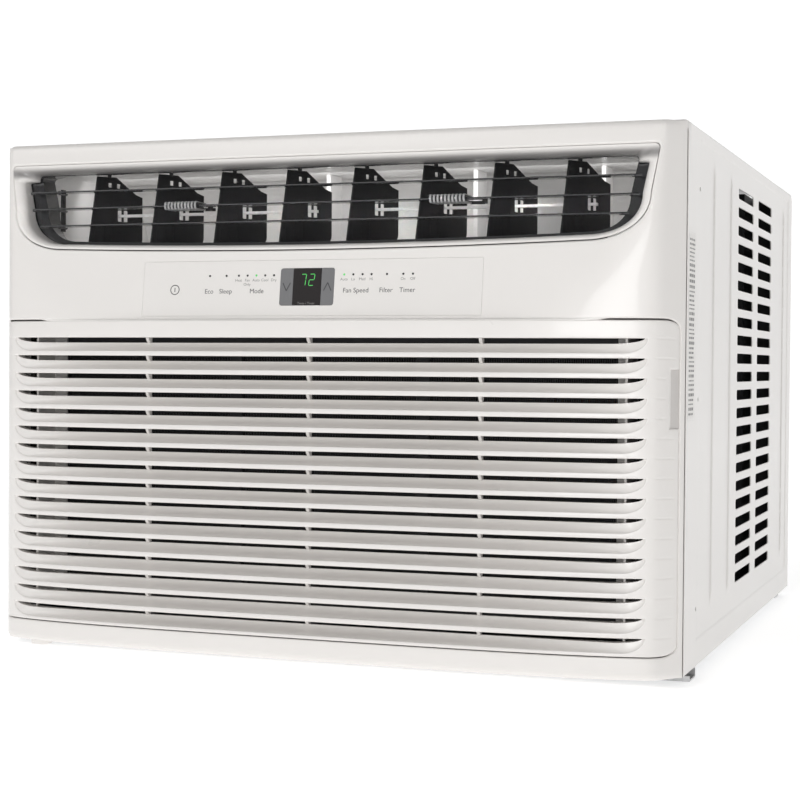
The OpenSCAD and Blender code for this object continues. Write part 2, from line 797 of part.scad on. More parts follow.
filter_bays = 3;
bay_pitch = (2 * filter_half - filter_rim) / filter_bays;
bay_w = bay_pitch - filter_rim;
bay_h = filter_z1 - filter_z0 - 2 * filter_rim;
mesh_t = 1;
module at_filter_bays() {
    for (c = [0 : filter_bays - 1])
        translate([-filter_half + filter_rim + c * bay_pitch, 0, filter_z0 + filter_rim]) children();
}

module filter_frame() {
    color(GREY) difference() {
        block([-filter_half, filter_y, filter_z0], [filter_half, filter_y + filter_t, filter_z1]);
        at_filter_bays() block([0, filter_y - over, 0], [bay_w, filter_y + filter_t + over, bay_h]);
    }
}

module filter_mesh() {
    color(DARK) at_filter_bays()
        block([0, filter_y + filter_t / 2, 0], [bay_w, filter_y + filter_t / 2 + mesh_t, bay_h]);
}

// ---------------------------------------------------------------- chassis

pan_y = rim_y + rim_t;
bracket_top_z = cab_z + 290;
module base_pan() {
    color(STEEL) difference() {
        union() {
            block([-pan_half, pan_y, pan_z], [pan_half, pan_back_y, pan_top_z]);
            for (s = [-1, 1]) {
                x = s * (pan_half - pan_t / 2);
                block([x - pan_t / 2, pan_y + pan_t, pan_top_z],
                    [x + pan_t / 2, pan_back_y, pan_z + pan_lip]);
                block([s > 0 ? bracket_half[0] : -bracket_half[1], pan_y, pan_z],
                    [s > 0 ? bracket_half[1] : -bracket_half[0], pan_y + pan_t, bracket_top_z]);
            }
            block([-pan_half, pan_back_y - pan_t, pan_z], [pan_half, pan_back_y, pan_z + pan_lip]);
        }
        at_screws() bar_y(0, 0, pan_y - over, pan_y + pan_t + over, screw_r);
    }
}

wall_gap = 3;
shaft_gap = 8;
module bulkhead() {
    color(STEEL) difference() {
        block([-pan_half + wall_gap, bulkhead_y, pan_top_z],
            [pan_half - wall_gap, bulkhead_y + bulkhead_t, cavity_top_z - wall_gap]);
        bar_y(axis_x, axis_z, bulkhead_y - over, bulkhead_y + bulkhead_t + over, shaft_r + shaft_gap);
        bar_y(pipe_in_x, pipe_in_z, bulkhead_y - over, bulkhead_y + bulkhead_t + over, 2 * pipe_r);
    }
}

// Fin block with two end plates, copper hairpin bends on both ends
plate_gap = 3;
plate_t = 2;
bend_out = 12;
bend_r = 3;
row_edge = 10;
module coil(half, y, thick, z0, z1, rows) {
    pitch = (z1 - z0 - 2 * row_edge) / rows;
    fin_half = half - bend_out - plate_t;
    color([0.62, 0.63, 0.64]) {
        block([-fin_half, y, z0], [fin_half, y + thick, z1]);
        for (x = [-fin_half, fin_half + plate_t])
            block([x - plate_t, y - plate_gap, z0], [x, y + thick + plate_gap, z1]);
    }
    color(COPPER) for (s = [-1, 1], i = [0 : rows - 1])
        translate([s * (half - bend_out), y + thick / 2, z0 + row_edge + pitch * (i + 0.5)])
            rotate([90, 0, s > 0 ? 0 : 180]) rotate([0, 0, -90])
                rotate_extrude(angle = 180, $fn = bore_fn) translate([pitch / 4, 0]) circle(r = bend_r);
}

evap_y = filter_y + filter_t + 12;
evap_t = 36;
evap_half = row_half - 20;
evap_z = [cab_z + 24, cab_z + 330];
evap_rows = 12;
module evaporator_coil() { coil(evap_half, evap_y, evap_t, evap_z[0], evap_z[1], evap_rows); }

condenser_half = cab_w / 2 - 19;
condenser_z = [pan_top_z + 2, cavity_top_z - 12];
condenser_rows = 16;
module condenser_coil() {
    coil(condenser_half, condenser_y, coil_t, condenser_z[0], condenser_z[1], condenser_rows);
}

// Spiral wall round the wheel: it starts at the tongue, upper right, and ends in the chute
scroll_turn = 300;
scroll_steps = 30;
scroll_lap = 22;
scroll_plate_z = cab_z + 20;
function scroll_point(i, extra) = let (
    a = scroll_turn * i / scroll_steps, r = scroll_r0 + scroll_grow * i / scroll_steps + extra)
    [axis_x + r * cos(a + tongue_a), axis_z + r * sin(a + tongue_a)];
module blower_scroll() {
    tongue_z = scroll_point(0, 0).y + 2 * scroll_t;
    color(DARK) {
        difference() {
            block([-duct_half, scroll_y, scroll_plate_z], [duct_half, scroll_y + scroll_t, duct_low_z]);
            bar_y(axis_x, axis_z, scroll_y - over, scroll_y + scroll_t + over, wheel_r - scroll_lap);
        }
        along_y(scroll_y + scroll_t, bulkhead_y) polygon(concat(
            [[chute_x1, duct_low_z]],
            [for (i = [scroll_steps : -1 : 0]) scroll_point(i, 0)],
            [[chute_x0, duct_low_z], [chute_x0 - scroll_t, duct_low_z], [chute_x0 - scroll_t, tongue_z]],
            [for (i = [1 : scroll_steps]) scroll_point(i, scroll_t)],
            [[chute_x1 + scroll_t, duct_low_z]]));
    }
}

blade_count = 30;
wheel_plate_t = 3;
wheel_ring_t = 4;
wheel_ring_w = 16;
wheel_hub_len = 26;
wheel_hub_r = 2.4 * shaft_r;
blade_depth = 14;
blade_angle = 28;
blade_in = 15;
wheel_blade_t = 1.2;
module blower_wheel() {
    wheel_end = wheel_y + wheel_len;
    color(BLACK) {
        ring_y(axis_x, axis_z, wheel_end - wheel_plate_t, wheel_end, wheel_r, shaft_r);
        ring_y(axis_x, axis_z, wheel_y, wheel_y + wheel_ring_t, wheel_r, wheel_r - wheel_ring_w);
        ring_y(axis_x, axis_z, wheel_end - wheel_hub_len, wheel_end - wheel_plate_t, wheel_hub_r, shaft_r);
        for (i = [0 : blade_count - 1])
            translate([axis_x, wheel_y + wheel_plate_t, axis_z]) rotate([0, 360 * i / blade_count, 0])
                translate([wheel_r - blade_in, 0, 0]) rotate([0, blade_angle, 0])
                    cube([blade_depth, wheel_len - wheel_plate_t - 2, wheel_blade_t]);
    }
}

shaft_in = 40;
shaft_out = 4;
module fan_shaft() {
    color(STEEL) bar_y(axis_x, axis_z, wheel_y + shaft_in, fan_y + fan_len - shaft_out, shaft_r);
}

fan_blades = 5;
fan_hub_r = 34;
fan_hub_in = 6;
fan_ring_y = fan_y + 14;
fan_ring_w = 12;
fan_ring_t = 3;
fan_mid_y = fan_y + 20;
fan_root = 30;
fan_pitch_a = 62;
fan_chord = 35.2;
fan_lead = 22;
fan_blade_t = 2;
module condenser_fan() {
    color(BLACK) {
        ring_y(axis_x, axis_z, fan_y + fan_hub_in, fan_y + fan_len - fan_hub_in, fan_hub_r, shaft_r);
        ring_y(axis_x, axis_z, fan_ring_y, fan_ring_y + fan_ring_w, fan_r, fan_r - fan_ring_t);
        for (i = [0 : fan_blades - 1])
            translate([axis_x, fan_mid_y, axis_z]) rotate([0, 360 * i / fan_blades, 0])
                translate([fan_root, 0, 0]) rotate([-fan_pitch_a, 0, 0])
                    translate([0, -fan_blade_t / 2, -fan_lead])
                        cube([fan_r - fan_root - fan_ring_t / 2, fan_blade_t, fan_chord]);
    }
}

motor_cap_t = 6;
motor_cap_r = 18;
module fan_motor() {
    color([0.25, 0.27, 0.3]) {
        difference() {
            bar_y(axis_x, axis_z, motor_y, motor_y + motor_len, motor_r);
            bar_y(axis_x, axis_z, motor_y - over, motor_y + motor_len + over, shaft_r + pin_clear);
        }
        for (y = [motor_y - motor_cap_t, motor_y + motor_len])
            ring_y(axis_x, axis_z, y, y + motor_cap_t, motor_cap_r, shaft_r + pin_clear);
    }
}

saddle_t = 16;
saddle_in = 10;
saddle_side = 6;
saddle_drop = 12;
base_side = 14;
base_t = 3;
saddle_leg = 16;
saddle_web = 10;
module motor_bracket() {
    base_z = pan_top_z + base_t;
    y1 = motor_y + motor_len;
    color(STEEL) difference() {
        union() {
            for (y = [motor_y + saddle_in, y1 - saddle_in - saddle_t])
                block([axis_x - motor_r - saddle_side, y, base_z],
                    [axis_x + motor_r + saddle_side, y + saddle_t, axis_z - saddle_drop]);
            block([axis_x - motor_r - base_side, motor_y, pan_top_z],
                [axis_x + motor_r + base_side, y1, base_z]);
        }
        bar_y(axis_x, axis_z, motor_y - over, y1 + over, motor_r);
        block([axis_x - motor_r + saddle_leg, motor_y, base_z + over],
            [axis_x + motor_r - saddle_leg, y1, axis_z - motor_r - saddle_web]);
    }
}

shroud_t = 2;
shroud_gap = 3;
shroud_half = cab_w / 2 - 33;
shroud_z0 = pan_top_z + 2;
shroud_z1 = cavity_top_z - 12;
collar_len = 40;
collar_r = fan_r + 5;
module condenser_shroud() {
    color(DARK) {
        difference() {
            block([-shroud_half, shroud_y, shroud_z0], [shroud_half, shroud_y + shroud_t, shroud_z1]);
            bar_y(axis_x, axis_z, shroud_y - over, shroud_y + shroud_t + over, collar_r);
            bar_y(comp_x, pipe_out_z, shroud_y - over, shroud_y + shroud_t + over, 2 * pipe_r);
        }
        ring_y(axis_x, axis_z, shroud_y - collar_len, shroud_y, collar_r + shroud_t, collar_r);
        for (x = [-shroud_half, shroud_half - shroud_t])
            block([x, shroud_y + shroud_t, shroud_z0], [x + shroud_t, condenser_y - shroud_gap, shroud_z1]);
        block([-shroud_half + shroud_t, shroud_y + shroud_t, shroud_z1 - shroud_t],
            [shroud_half - shroud_t, condenser_y - shroud_gap, shroud_z1]);
    }
}

comp_z = pan_top_z + mount_h;
foot_ring = comp_r + 12;
foot_end = 12;
foot_w = 28;
foot_t = 4;
stud_r = 4;
foot_angles = [30, 150, 270];
module at_feet() {
    for (a = foot_angles)
        translate([comp_x + foot_ring * cos(a), comp_y + foot_ring * sin(a), 0]) children();
}
module compressor() {
    color(BLACK) {
        bar_z(comp_x, comp_y, comp_z + foot_t, comp_z + comp_h, comp_r);
        translate([comp_x, comp_y, comp_z + comp_h]) intersection() {
            translate([0, 0, -comp_r]) sphere(r = comp_r * sqrt(2), $fn = bore_fn);
            cylinder(h = comp_r, r = comp_r, $fn = bore_fn);
        }
        difference() {
            union() {
                bar_z(comp_x, comp_y, comp_z, comp_z + foot_t, comp_r);
                for (a = foot_angles)
                    translate([comp_x, comp_y, comp_z]) rotate([0, 0, a])
                        translate([0, -foot_w / 2, 0]) cube([foot_ring + foot_end, foot_w, foot_t]);
            }
            at_feet() bar_z(0, 0, comp_z - over, comp_z + foot_t + over, stud_r);
        }
    }
}

// Rubber feet, each on a stud with a nut above the compressor's foot
rubber_r = 12;
nut_r = 8;
nut_t = 5;
stud_end = 12;
module compressor_mounts() {
    color(DARK) at_feet() {
        difference() {
            bar_z(0, 0, pan_top_z, comp_z, rubber_r);
            bar_z(0, 0, pan_top_z - over, comp_z + over, stud_r);
        }
        bar_z(0, 0, pan_top_z, comp_z + stud_end, stud_r);
        bar_z(0, 0, comp_z + foot_t, comp_z + foot_t + nut_t, nut_r);
    }
}

acc_x = comp_x - 48;
acc_y = bulkhead_y + bulkhead_t + 28;
acc_r = 24;
acc_neck = 12;
acc_z0 = pan_top_z + 118;
acc_z1 = pan_top_z + 282;
module accumulator() {
    color(BLACK) {
        bar_z(acc_x, acc_y, acc_z0 + acc_neck, acc_z1 - acc_neck, acc_r);
        bar_z(acc_x, acc_y, acc_z1 - acc_neck, acc_z1, acc_r / 2);
        bar_z(acc_x, acc_y, acc_z0, acc_z0 + acc_neck, acc_r / 2);
    }
}

pipe_in_x = comp_x - 15;
pipe_in_z = cab_z + 350;
pipe_in_y = bulkhead_y - 60;
pipe_low_z = pan_top_z + 80;
pipe_out_z = cab_z + cab_h - 53;
dome_z = comp_z + comp_h + comp_r * (sqrt(2) - 1);
module refrigerant_pipes() {
    color(COPPER) {
        // Suction line from the evaporator through the bulkhead to the accumulator
        pipe([[pipe_in_x, pipe_in_y, pipe_in_z], [pipe_in_x, acc_y, pipe_in_z], [acc_x, acc_y, pipe_in_z],
            [acc_x, acc_y, acc_z1]], pipe_r);
        // Accumulator to the compressor
        pipe([[acc_x, acc_y, acc_z0], [acc_x, acc_y, pipe_low_z], [comp_x, acc_y, pipe_low_z],
            [comp_x, comp_y - comp_r, pipe_low_z]], pipe_r);
        // Discharge line from the compressor's top to the condenser
        pipe([[comp_x, comp_y, dome_z], [comp_x, comp_y, pipe_out_z],
            [comp_x, condenser_y, pipe_out_z]], pipe_r);
    }
}

// Box that holds the run capacitor and the wiring, with a cover plate
box_x = cab_w / 2 - 143;
box_w = 110;
box_z = [cab_z + 300, cab_z + 430];
box_y = bulkhead_y + 70;
cover_x = [box_x + 25, box_x + 70];
cover_z = [cab_z + 320, cab_z + 400];
cover_t = 8;
module electrical_box() {
    color(STEEL) {
        block([box_x, bulkhead_y + bulkhead_t, box_z[0]], [box_x + box_w, box_y, box_z[1]]);
        block([cover_x[0], box_y, cover_z[0]], [cover_x[1], box_y + cover_t, cover_z[1]]);
    }
}

cabinet_left();
cabinet_right();
cabinet_top();
cabinet_floor();
sill_channel();
rear_rail();
front_panel();
panel_screws();
cord_gland();
outlet_bezel();
outlet_duct();
louver_top();
louver_middle();
louver_bottom();
louver_link();
vane_1();
vane_2();
vane_3();
vane_4();
vane_5();
vane_6();
vane_7();
vane_8();
vane_link_left();
vane_link_right();
grip_left();
grip_right();
control_film();
display_lens();
display_module();
control_board();
indicator_lights();
key_power();
key_eco();
key_sleep();
key_mode();
key_temp_down();
key_temp_up();
key_fan_speed();
key_filter();
key_timer();
intake_grille();
filter_frame();
filter_mesh();
base_pan();
bulkhead();
evaporator_coil();
blower_scroll();
blower_wheel();
fan_shaft();
condenser_fan();
fan_motor();
motor_bracket();
condenser_shroud();
condenser_coil();
compressor();
compressor_mounts();
accumulator();
refrigerant_pipes();
electrical_box();
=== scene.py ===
import json
import math
import random

import bpy
import bmesh
import numpy as np
from mathutils import Matrix, Vector
from mathutils.geometry import delaunay_2d_cdt


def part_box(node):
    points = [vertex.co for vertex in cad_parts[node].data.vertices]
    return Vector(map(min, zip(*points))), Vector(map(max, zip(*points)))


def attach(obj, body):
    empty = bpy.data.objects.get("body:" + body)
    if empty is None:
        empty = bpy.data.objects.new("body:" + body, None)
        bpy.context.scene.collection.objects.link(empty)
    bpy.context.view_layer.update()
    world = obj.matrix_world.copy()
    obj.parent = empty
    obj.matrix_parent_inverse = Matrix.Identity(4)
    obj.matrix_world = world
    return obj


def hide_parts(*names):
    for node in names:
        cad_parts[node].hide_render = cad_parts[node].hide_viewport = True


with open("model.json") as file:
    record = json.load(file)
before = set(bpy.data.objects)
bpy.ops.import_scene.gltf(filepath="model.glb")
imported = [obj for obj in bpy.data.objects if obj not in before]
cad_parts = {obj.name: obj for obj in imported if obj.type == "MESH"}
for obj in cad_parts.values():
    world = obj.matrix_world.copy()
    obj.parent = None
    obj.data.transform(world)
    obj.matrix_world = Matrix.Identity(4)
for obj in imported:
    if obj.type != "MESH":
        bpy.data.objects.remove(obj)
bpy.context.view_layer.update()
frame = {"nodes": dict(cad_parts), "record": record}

# Window air conditioner. Lengths are in millimetres until a mesh is made, +Y points outdoors.
MM = 0.001
WHOLE = 1e9  # longest run of an outline that is not to be cut into shorter ones


def span(node):
    """Lowest and highest corner of a CAD node, in millimetres."""
    low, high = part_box(node)
    return low / MM, high / MM


# ---------------------------------------------------------------- sizes, from the frame
cab_low, cab_high = span("cabinet_right")
half_w = cab_high.x
seam_y, rear_y = cab_low.y, cab_high.y
cab_z, cab_top_z = cab_low.z, cab_high.z
panel_low, panel_high = span("front_panel")
front_y, panel_bottom_z = panel_low.y, panel_low.z
panel_back_y = panel_high.y
panel_depth = seam_y - front_y
grille_low, grille_high = span("intake_grille")
grille_gap = 1.4
split_z, strip_z = grille_high.z + grille_gap, grille_low.z - grille_gap
bezel_low, bezel_high = span("outlet_bezel")
outlet_half, outlet_top_z, outlet_bottom_z = bezel_high.x, bezel_high.z, bezel_low.z
film_half = span("control_film")[1].x
lean = math.radians(7.4)
face_step = 6
face_y0 = front_y + face_step
film_rise, film_h = 27.7, 50.4
film_z = split_z + film_rise
panel_t = 3
plan_power = 3.2


def face_y(z):
    """Depth of the leaning control face at a height."""
    return face_y0 + (z - split_z) * math.tan(lean)


def smooth(t):
    """Ease from 0 to 1 as t goes from 0 to 1, and stay there beyond."""
    t = min(1, max(0, t))
    return t * t * (3 - 2 * t)


# ---------------------------------------------------------------- materials
blotch_scale, blotch_detail = 14, 4
blotch_from, blotch_to = 0.3, 0.7
grain_detail, grain_height = 2, 0.0006
coat_rough, least_rough = 0.08, 0.02


def node_material(name, colour, rough, coat=0.0, metal=0.0, grain=900, bump=0.02, blotch=0.03,
                  rough_blotch=0.06):
    """Principled material whose colour and roughness wander a little, with a fine grain in its bump."""
    m = bpy.data.materials.new(name)
    m.use_nodes = True
    nodes, links = m.node_tree.nodes, m.node_tree.links
    shader = nodes["Principled BSDF"]
    shader.inputs["Metallic"].default_value = metal
    shader.inputs["Coat Weight"].default_value = coat
    shader.inputs["Coat Roughness"].default_value = coat_rough
    where = nodes.new("ShaderNodeTexCoord")
    wide = nodes.new("ShaderNodeTexNoise")
    wide.inputs["Scale"].default_value = blotch_scale
    wide.inputs["Detail"].default_value = blotch_detail
    links.new(where.outputs["Object"], wide.inputs["Vector"])
    ramp = nodes.new("ShaderNodeValToRGB")
    for stop, factor in ((0, 1 - blotch), (1, 1 + blotch)):
        ramp.color_ramp.elements[stop].position = blotch_from + (blotch_to - blotch_from) * stop
        ramp.color_ramp.elements[stop].color = [min(1, c * factor) for c in colour[:3]] + [1]
    links.new(wide.outputs["Fac"], ramp.inputs["Fac"])
    links.new(ramp.outputs["Color"], shader.inputs["Base Color"])
    level = nodes.new("ShaderNodeMapRange")
    level.inputs["To Min"].default_value = max(least_rough, rough - rough_blotch)
    level.inputs["To Max"].default_value = rough + rough_blotch
    links.new(wide.outputs["Fac"], level.inputs["Value"])
    links.new(level.outputs["Result"], shader.inputs["Roughness"])
    fine = nodes.new("ShaderNodeTexNoise")
    fine.inputs["Scale"].default_value = grain
    fine.inputs["Detail"].default_value = grain_detail
    links.new(where.outputs["Object"], fine.inputs["Vector"])
    relief = nodes.new("ShaderNodeBump")
    relief.inputs["Strength"].default_value = bump
    relief.inputs["Distance"].default_value = grain_height
    links.new(fine.outputs["Fac"], relief.inputs["Height"])
    links.new(relief.outputs["Normal"], shader.inputs["Normal"])
    return m


def typed(m, kind, place=0):
    """One of a material's nodes, by its type and its place among the nodes of that type."""
    return [n for n in m.node_tree.nodes if n.type == kind][place]


def brushed(m, stretch):
    """Stretch a material's grain along one axis, as brushing or drawing does."""
    tree = m.node_tree
    fine = typed(m, "TEX_NOISE", 1)
    mapping = tree.nodes.new("ShaderNodeMapping")
    mapping.inputs["Scale"].default_value = stretch
    where = typed(m, "TEX_COORD")
    tree.links.new(where.outputs["Object"], mapping.inputs["Vector"])
    tree.links.new(mapping.outputs["Vector"], fine.inputs["Vector"])
    return m


def spangled(m, scale, amount):
    """Give galvanised sheet its crystal pattern."""
    tree = m.node_tree
    shader = tree.nodes["Principled BSDF"]
    ramp = typed(m, "VALTORGB")
    cells = tree.nodes.new("ShaderNodeTexVoronoi")
    cells.inputs["Scale"].default_value = scale
    where = typed(m, "TEX_COORD")
    tree.links.new(where.outputs["Object"], cells.inputs["Vector"])
    grey = tree.nodes.new("ShaderNodeSeparateColor")
    tree.links.new(cells.outputs["Color"], grey.inputs["Color"])
    mix = tree.nodes.new("ShaderNodeMix")
    mix.data_type = "RGBA"
    mix.blend_type = "MULTIPLY"
    mix.inputs["Factor"].default_value = amount
    tree.links.new(ramp.outputs["Color"], mix.inputs["A"])
    tree.links.new(grey.outputs["Red"], mix.inputs["B"])
    tree.links.new(mix.outputs["Result"], shader.inputs["Base Color"])
    return m


def woven(m, pitch, holes):
    """Nylon mesh: two crossed sets of threads with see-through holes between them."""
    tree = m.node_tree
    shader = tree.nodes["Principled BSDF"]
    where = typed(m, "TEX_COORD")
    axes = tree.nodes.new("ShaderNodeSeparateXYZ")
    tree.links.new(where.outputs["Object"], axes.inputs["Vector"])
    gaps = []
    for axis in ("X", "Z"):
        turn = tree.nodes.new("ShaderNodeMath")
        turn.operation = "MULTIPLY"
        turn.inputs[1].default_value = math.tau / pitch
        tree.links.new(axes.outputs[axis], turn.inputs[0])
        wave = tree.nodes.new("ShaderNodeMath")
        wave.operation = "SINE"
        tree.links.new(turn.outputs[0], wave.inputs[0])
        gap = tree.nodes.new("ShaderNodeMath")
        gap.operation = "GREATER_THAN"
        gap.inputs[1].default_value = holes
        tree.links.new(wave.outputs[0], gap.inputs[0])
        gaps.append(gap)
    both = tree.nodes.new("ShaderNodeMath")
    both.operation = "MULTIPLY"
    tree.links.new(gaps[0].outputs[0], both.inputs[0])
    tree.links.new(gaps[1].outputs[0], both.inputs[1])
    solid = tree.nodes.new("ShaderNodeMath")
    solid.operation = "SUBTRACT"
    solid.inputs[0].default_value = 1
    tree.links.new(both.outputs[0], solid.inputs[1])
    tree.links.new(solid.outputs[0], shader.inputs["Alpha"])
    return m


def glowing(m, colour, strength):
    """Make a material give light."""
    shader = m.node_tree.nodes["Principled BSDF"]
    shader.inputs["Emission Color"].default_value = list(colour) + [1]
    shader.inputs["Emission Strength"].default_value = strength
    return m


def painted_shade_band(m, dark, z0, z1, z2, z3):
    """Paint shade onto a material: darken it between two heights, fading at both ends."""
    tree = m.node_tree
    shader = tree.nodes["Principled BSDF"]
    ramp = typed(m, "VALTORGB")
    where = typed(m, "TEX_COORD")
    axes = tree.nodes.new("ShaderNodeSeparateXYZ")
    tree.links.new(where.outputs["Object"], axes.inputs["Vector"])
    rise = tree.nodes.new("ShaderNodeMapRange")
    fall = tree.nodes.new("ShaderNodeMapRange")
    for level, low, high in ((rise, z0, z1), (fall, z3, z2)):
        level.inputs["From Min"].default_value = low * MM
        level.inputs["From Max"].default_value = high * MM
        level.interpolation_type = "SMOOTHSTEP"
        tree.links.new(axes.outputs["Z"], level.inputs["Value"])
    both = tree.nodes.new("ShaderNodeMath")
    both.operation = "MULTIPLY"
    tree.links.new(rise.outputs["Result"], both.inputs[0])
    tree.links.new(fall.outputs["Result"], both.inputs[1])
    mix = tree.nodes.new("ShaderNodeMix")
    mix.data_type = "RGBA"
    tree.links.new(both.outputs[0], mix.inputs["Factor"])
    tree.links.new(ramp.outputs["Color"], mix.inputs["A"])
    mix.inputs["B"].default_value = list(dark) + [1]
    tree.links.new(mix.outputs["Result"], shader.inputs["Base Color"])
    return m


# name: colour, roughness, coat, metal, grain's scale and depth, wander of the colour and of the roughness
FINISHES = {
    "panel_plastic": ((0.80, 0.775, 0.75), 0.30, 0.35, 0, 1300, 0.03, 0.008),
    "cabinet_paint": ((0.79, 0.765, 0.74), 0.36, 0.25, 0, 420, 0.09, 0.010),
    "rail_steel": ((0.62, 0.62, 0.62), 0.38, 0, 0.85, 700, 0.05, 0.05),
    "pan_steel": ((0.60, 0.61, 0.62), 0.42, 0, 0.8, 700, 0.05, 0.05),
    "dark_gloss": ((0.022, 0.022, 0.024), 0.20, 0.6, 0, 1500, 0.03, 0.05),
    "black_plastic": ((0.010, 0.010, 0.011), 0.48, 0, 0, 1800, 0.12, 0.08),
    "grip_grey": ((0.34, 0.34, 0.34), 0.42, 0, 0, 1800, 0.10, 0.06),
    "duct_plastic": ((0.84, 0.83, 0.82), 0.42, 0.1, 0, 700, 0.10, 0.06),
    "film": ((0.775, 0.752, 0.728), 0.40, 0, 0, 2400, 0.04, 0.006),
    "pad_grey": ((0.17, 0.17, 0.175), 0.38, 0.15, 0, 2400, 0.04, 0.03),
    "lens": ((0.012, 0.009, 0.009), 0.14, 0.6, 0, 2000, 0.01, 0.05, 0.03),
    "light_pipe": ((0.012, 0.012, 0.013), 0.55, 0, 0, 2400, 0.02, 0.05),
    "board": ((0.02, 0.10, 0.04), 0.4, 0.3, 0, 900, 0.15, 0.15),
    "filter_grey": ((0.045, 0.045, 0.048), 0.5, 0, 0, 1500, 0.10, 0.06),
    "mesh": ((0.02, 0.02, 0.021), 0.6, 0, 0, 1500, 0.1, 0.1),
    "fins": ((0.66, 0.67, 0.68), 0.34, 0, 0.9, 500, 0.08, 0.05),
    "copper": ((0.62, 0.30, 0.17), 0.30, 0, 1.0, 500, 0.08, 0.18, 0.12),
    "rubber": ((0.05, 0.05, 0.05), 0.65, 0, 0, 900, 0.25, 0.1),
    "black_enamel": ((0.012, 0.012, 0.013), 0.25, 0.5, 0, 350, 0.12, 0.1),
    "motor_paint": ((0.11, 0.12, 0.135), 0.38, 0.2, 0, 500, 0.12, 0.08),
    "screw_steel": ((0.72, 0.72, 0.72), 0.25, 0, 1.0, 1500, 0.05, 0.08),
    "shaft_steel": ((0.66, 0.66, 0.67), 0.22, 0, 1.0, 900, 0.1, 0.05),
    "lip_plastic_painted_shade": ((0.80, 0.775, 0.75), 0.30, 0.35, 0, 1300, 0.03, 0.008),
    "ink": ((0.05, 0.05, 0.052), 0.5, 0, 0, 2400, 0.02, 0.06),
    "pale_ink": ((0.20, 0.195, 0.19), 0.5, 0, 0, 2400, 0.02, 0.06),
    # Recess surfaces: panel plastic painted darker, as painted shade inside the frame behind the grille and
    # the finger notches
    "recess_painted_shade": ((0.60, 0.575, 0.555), 0.5, 0, 0, 1300, 0.04, 0.02),
    "green_glow": ((0.05, 0.4, 0.08), 0.4),
}
MAT = {finish: node_material(finish, *values) for finish, values in FINISHES.items()}
spangled(MAT["rail_steel"], 120, 0.35)
spangled(MAT["pan_steel"], 90, 0.4)
woven(MAT["mesh"], 0.0016, 0.25)
brushed(MAT["fins"], (1, 1, 0.05))
brushed(MAT["shaft_steel"], (1, 0.03, 1))
# Painted shade: a dark band across the top of the outlet's pale lip, where its roll faces down into shadow
painted_shade_band(MAT["lip_plastic_painted_shade"], (0.26, 0.25, 0.245),
       outlet_top_z - 15, outlet_top_z - 8, outlet_top_z - 7, outlet_top_z)
glowing(MAT["green_glow"], (0.12, 0.62, 0.14), 0.5)


# ---------------------------------------------------------------- mesh helpers
edge_clear = 0.7
same_place = 1e-6
tiny = 1e-12
batch = 2000


class Build:
    """Vertices and faces of one piece, gathered ring by ring."""

    def __init__(self):
        self.verts, self.faces = [], []

    def add(self, points):
        """Take in a ring of points and give back its indices."""
        start = len(self.verts)
        self.verts += [tuple(p) for p in points]
        return list(range(start, len(self.verts)))

    def bridge(self, a, b):
        """Join two closed rings of the same length with a band of faces."""
        for i in range(len(a)):
            j = (i + 1) % len(a)
            self.faces.append((a[i], a[j], b[j], b[i]))

    def cap(self, ring):
        """Close a flat ring with one face."""
        self.faces.append(tuple(ring))

    def fill(self, rings, flats, inner, place):
        """Triangles between rings with given flat outlines. A function places the inner points."""
        flat = np.array([p for f in flats for p in f], float)
        index = [i for ring in rings for i in ring]
        edges, start = [], 0
        for f in flats:
            edges += [(start + i, start + (i + 1) % len(f)) for i in range(len(f))]
            start += len(f)
        a = flat[[e[0] for e in edges]]
        b = flat[[e[1] for e in edges]]
        inner = np.array(inner, float).reshape(-1, 2)
        if len(inner):
            inner = inner[inside(inner, a, b) & clear_of(inner, a, b, edge_clear)]
            index += self.add([place(*p) for p in inner])
        points = [Vector(p) for p in np.vstack([flat, inner])]
        _, _, triangles, origin, _, _ = delaunay_2d_cdt(points, edges, [], 0, same_place)
        source = [o[0] if o else -1 for o in origin]
        corners = np.array([[source[i] for i in t] for t in triangles])
        every = np.vstack([flat, inner])
        keep = inside(every[corners].mean(axis=1), a, b)
        self.faces += [tuple(index[i] for i in t) for t, k in zip(corners, keep) if k]


def inside(points, a, b):
    """Which points lie inside an outline, by how many of its edges lie to their right."""
    result = np.zeros(len(points), bool)
    slope = (b[:, 0] - a[:, 0]) / np.where(b[:, 1] == a[:, 1], tiny, b[:, 1] - a[:, 1])
    for start in range(0, len(points), batch):
        p = points[start:start + batch, None, :]
        crosses = (a[:, 1] > p[..., 1]) != (b[:, 1] > p[..., 1])
        right = p[..., 0] < a[:, 0] + (p[..., 1] - a[:, 1]) * slope
        result[start:start + batch] = (crosses & right).sum(axis=1) % 2 == 1
    return result


def clear_of(points, a, b, least):
    """Which points keep a distance from every edge."""
    result = np.ones(len(points), bool)
    run = b - a
    length = np.maximum((run ** 2).sum(axis=1), tiny)
    for start in range(0, len(points), batch):
        p = points[start:start + batch, None, :]
        t = np.clip(((p - a) * run).sum(axis=2) / length, 0, 1)
        gap = np.linalg.norm(p - (a + t[..., None] * run), axis=2).min(axis=1)
        result[start:start + batch] = gap > least
    return result


def outward(loop):
    """Direction away from the material at each point of a closed flat outline, longer at corners."""
    result = []
    for i, p in enumerate(loop):
        before = (Vector(p) - Vector(loop[i - 1])).normalized()
        after = (Vector(loop[(i + 1) % len(loop)]) - Vector(p)).normalized()
        middle = (before + after).normalized()
        widen = 1 / max(0.5, middle.dot(after))
        result.append(Vector((middle.y, -middle.x)) * widen)
    return result


def onto(surface, u, v, depth):
    """Point below a surface, square to it."""
    p = surface(u, v)
    if depth == 0:
        return p
    near = 0.05
    along = surface(u + near, v) - surface(u - near, v)
    up = surface(u, v + near) - surface(u, v - near)
    return p - along.cross(up).normalized() * depth


